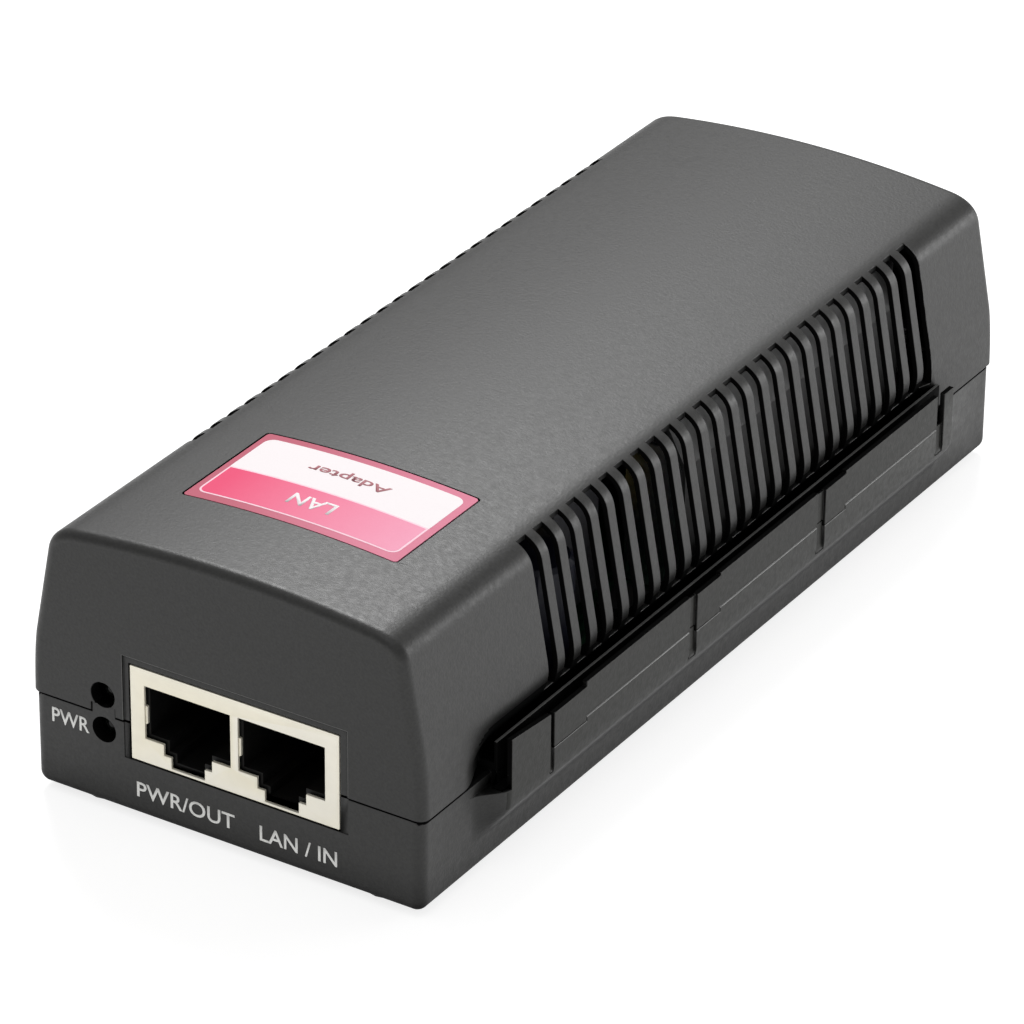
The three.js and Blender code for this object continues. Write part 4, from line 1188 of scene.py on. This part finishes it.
def make_label():
    sheet = rounded(LABEL_MIDDLE, LABEL_HALF, 0.5)
    label_layer("label_sheet", sheet, -0.2, -0.04, label_rose)
    low, high = LABEL_INNER[0][1], LABEL_INNER[1][1]
    rim = band_outline(low, LABEL_SPLIT, True, False)
    white = band_outline(LABEL_SPLIT, high, False, True)
    pink = band_outline(low, LABEL_SPLIT, True, False, 0.28)
    label_layer("label_outline", rim, -0.06, -0.025, label_pale)
    label_layer("label_white_band", white, -0.06, -0.02, label_white)
    label_layer("label_pink_band", pink, -0.06, -0.01, label_pink)
    label_text("label_word_white_band", "Adapter", (5.9, -6.1), (-42.65, -44.95), label_words, 0.0)
    label_text("label_word_pink_band", "LAN", (2.9, -3.5), (-50.55, -53.2), label_white, 0.01)


# ---- jack

WINDOW_HALF = 6.4
WINDOW_TOP = 19.15
WINDOW_FLOOR = 11.6
STEP_HALF = 3.6
STEP_FLOOR = 10.05
LATCH_HALF = 2.5
LATCH_FLOOR = 8.5


def window_outline(centre):
    right = [
        (LATCH_HALF, LATCH_FLOOR), (LATCH_HALF, STEP_FLOOR), (STEP_HALF, STEP_FLOOR),
        (STEP_HALF, WINDOW_FLOOR), (WINDOW_HALF, WINDOW_FLOOR), (WINDOW_HALF, WINDOW_TOP),
    ]
    left = [(-x, z) for x, z in reversed(right)]
    return [(centre + x, z) for x, z in right + left]


def contact_bump(centre):
    """The small sprung bump that the shield's window has on its left edge."""
    edge = centre - WINDOW_HALF
    section = [(edge - 0.2, 13.5), (edge + 0.24, 13.6), (edge + 0.24, 16.1), (edge - 0.2, 16.2)]
    return along_y("bump", section, (JACK_FACE + 0.3, JACK_FACE + 0.75))


def make_shield():
    left, right = JACK_X - JACK_HALF_WIDTH, JACK_X + JACK_HALF_WIDTH
    shield = box("shield", (left, right), (JACK_FACE, JACK_BACK), (JACK_LOW, JACK_HIGH))
    hollow = box(
        "hollow",
        (left + 0.4, right - 0.4),
        (JACK_FACE + 0.45, JACK_BACK + 1),
        (JACK_LOW + 0.3, JACK_HIGH - 0.4),
    )
    combine(shield, hollow)
    for centre in PORT_CENTRES:
        combine(shield, along_y("window", window_outline(centre), (JACK_FACE - 1, JACK_FACE + 1)))
    for centre in PORT_CENTRES:
        combine(shield, contact_bump(centre), "UNION")
    soften(shield)
    finish_piece(shield, "shield", shield_metal, replaces=("jack_shield",))


HINGE_Y = -68.6
HINGE_Z = 19.55
WIRE_RADIUS = 0.19
WIRE_SIDES = 10
WIRE_PITCH = 1.02
WIRES = 8


def round_wire(path, x):
    """A round wire along a path of y,z points at one x."""
    rings = []
    for i, (y, z) in enumerate(path):
        before, after = path[max(i - 1, 0)], path[min(i + 1, len(path) - 1)]
        dy, dz = after[0] - before[0], after[1] - before[1]
        length = math.hypot(dy, dz)
        across = (-dz / length, dy / length)
        ring = []
        for k in range(WIRE_SIDES):
            angle = 2 * math.pi * k / WIRE_SIDES
            side, out = WIRE_RADIUS * math.cos(angle), WIRE_RADIUS * math.sin(angle)
            ring.append((x + side, y + across[0] * out, z + across[1] * out))
        rings.append(ring)
    return loft("wire", rings)


def wire_path():
    """From the comb back, down at a slope, and level at the tip."""
    slope_start, slope_end, tip = (1.2, -0.25), (5.6, -3.2), (7.85, -4.28)
    path = bend((-0.25, -0.1), (0.5, -0.12), slope_start, 5)
    path += bend(slope_start, (3.4, -1.72), slope_end, 3)
    path += bend(slope_end, (7.1, -4.22), tip, 6) + [tip]
    return [(HINGE_Y + y, HINGE_Z + z) for y, z in path]


def make_contacts():
    for side, centre in zip(("out", "in"), PORT_CENTRES):
        body, replaced = side + "_port_spring", (side + "_port_contacts",)
        comb = along_y(
            "comb",
            rounded((centre, HINGE_Z), (4.15, 0.28), 0.12, 3),
            (HINGE_Y - 0.38, HINGE_Y + 0.38),
        )
        soften(comb, 0.08)
        finish_piece(comb, side + "_port_comb", jack_black_shaded, body, replaced)
        first = centre - WIRE_PITCH * (WIRES - 1) / 2
        wires = merge([round_wire(wire_path(), first + i * WIRE_PITCH) for i in range(WIRES)])
        wires.data.shade_smooth()
        finish_piece(wires, side + "_port_wires", gold, body, replaced)


# ---- status lights

LED_BACK = -65.5
LED_BODY_RADIUS = 1.45
LED_DOME_START = 3.6


def make_leds():
    profile = [(1.8, 0.0), (1.8, 0.85), (LED_BODY_RADIUS, 0.95), (LED_BODY_RADIUS, LED_DOME_START)]
    for i in range(1, 9):
        angle = math.pi / 2 * i / 9
        rise = LED_BODY_RADIUS * math.sin(angle)
        profile.append((LED_BODY_RADIUS * math.cos(angle), LED_DOME_START + rise))
    profile.append((0.06, LED_DOME_START + LED_BODY_RADIUS))
    for name, height in zip(("lower", "upper"), LED_HEIGHTS):
        middle = (LED_X, height)
        rings = [[(x, LED_BACK - reach, z) for x, z in circle(middle, r, 40)] for r, reach in profile]
        led = loft("led", rings)
        led.data.shade_smooth()
        led.data.set_sharp_from_angle(angle=math.radians(40))
        finish_piece(led, "led_" + name, led_lens, replaces=("status_led_" + name,))


# ---- rating label on the underside


def bottom_words(name, text, x, y):
    bm = lettering(text, x, y)
    for vertex in bm.verts:
        vertex.co = place(vertex.co.x, vertex.co.y, 0.04)
    for face in bm.faces:
        if face.normal.z > 0:
            face.normal_flip()
    finish_piece(new_object(name, bm), name, dark_ink)


def make_rating_print():
    bottom_words("rating_word_input", "INPUT", (-5, -16), (30, 33.4))
    bottom_words("rating_word_output", "OUTPUT", (-2.6, -16), (17, 20.4))
    rules = []
    for y, reach in ((26.5, 16), (24, 9), (13.5, 16), (11, 6), (3, 16), (-1, 16), (-5, 12), (-34, 16)):
        rules.append(box("rule", (-16, reach), (y - 0.3, y + 0.3), (0.03, 0.06)))
    for x in (-12, -4, 4, 12):
        rules.append(box("square", (x - 2.4, x + 2.4), (-22, -17.2), (0.03, 0.06)))
    finish_piece(merge(rules), "rating_rules", dark_ink)


# ---- CAD pieces shown as they are

NODE_LOOKS = (
    (rubber, 0.3, ["foot_" + corner for corner in CORNERS]),
    (plated_steel, 0.12, ["case_screw_" + corner for corner in CORNERS]),
    (plated_steel, 0.2, ["transistor_screw", "diode_screw"]),
    (foil, 0.05, ["rating_label"]),
    (solder_mask, 0.1, ["circuit_board"]),
    (jack_black_shaded, 0.12, ["jack_housing"]),
    (jack_black_shaded, 0.08, ["out_port_pin_block", "in_port_pin_block"]),
    (jack_black_shaded, 0.15, ["led_holder"]),
    (inlet_black, 0.35, ["ac_inlet_housing"]),
    (nickel, 0.2, ["inlet_pin_line", "inlet_pin_neutral", "inlet_pin_earth"]),
    (nickel, 0.1, ["fuse_clip_front", "fuse_clip_back"]),
    (fuse_glass, 0.2, ["fuse"]),
    (blue_epoxy, 0.4, ["varistor", "y_capacitor"]),
    (green_epoxy, 0.4, ["inrush_thermistor"]),
    (capacitor_box, 0.4, ["x_capacitor"]),
    (sleeve, 0.2, ["bulk_capacitor", "output_capacitor_left", "output_capacitor_right"]),
    (ferrite, 0.3, ["choke_core"]),
    (ferrite, 0.25, ["transformer_core"]),
    (ferrite, 0.2, ["output_inductor"]),
    (copper_wire, 0.3, ["choke_winding_left", "choke_winding_right"]),
    (winding_tape, 0.3, ["transformer_winding"]),
    (aluminium, 0.15, ["primary_heat_sink", "secondary_heat_sink"]),
    (black_epoxy, 0.15, ["switching_transistor", "output_diode", "transformer_bobbin"]),
    (black_epoxy, 0.2, ["bridge_rectifier", "optocoupler", "lan_transformer"]),
    (black_epoxy, 0.1, ["power_controller", "poe_controller"]),
    (barrier_sheet, 0.1, ["insulating_barrier"]),
)


def dress_nodes():
    """The remaining CAD pieces keep their shapes and get rounded edges and their materials."""
    for material, width, names in NODE_LOOKS:
        for name in names:
            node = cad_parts[name]
            node.data.materials.clear()
            node.data.materials.append(material)
            add_bevel(node, width, 40)


make_cover()
make_base()
make_label()
make_legends()
make_shield()
make_contacts()
make_leds()
make_rating_print()
dress_nodes()
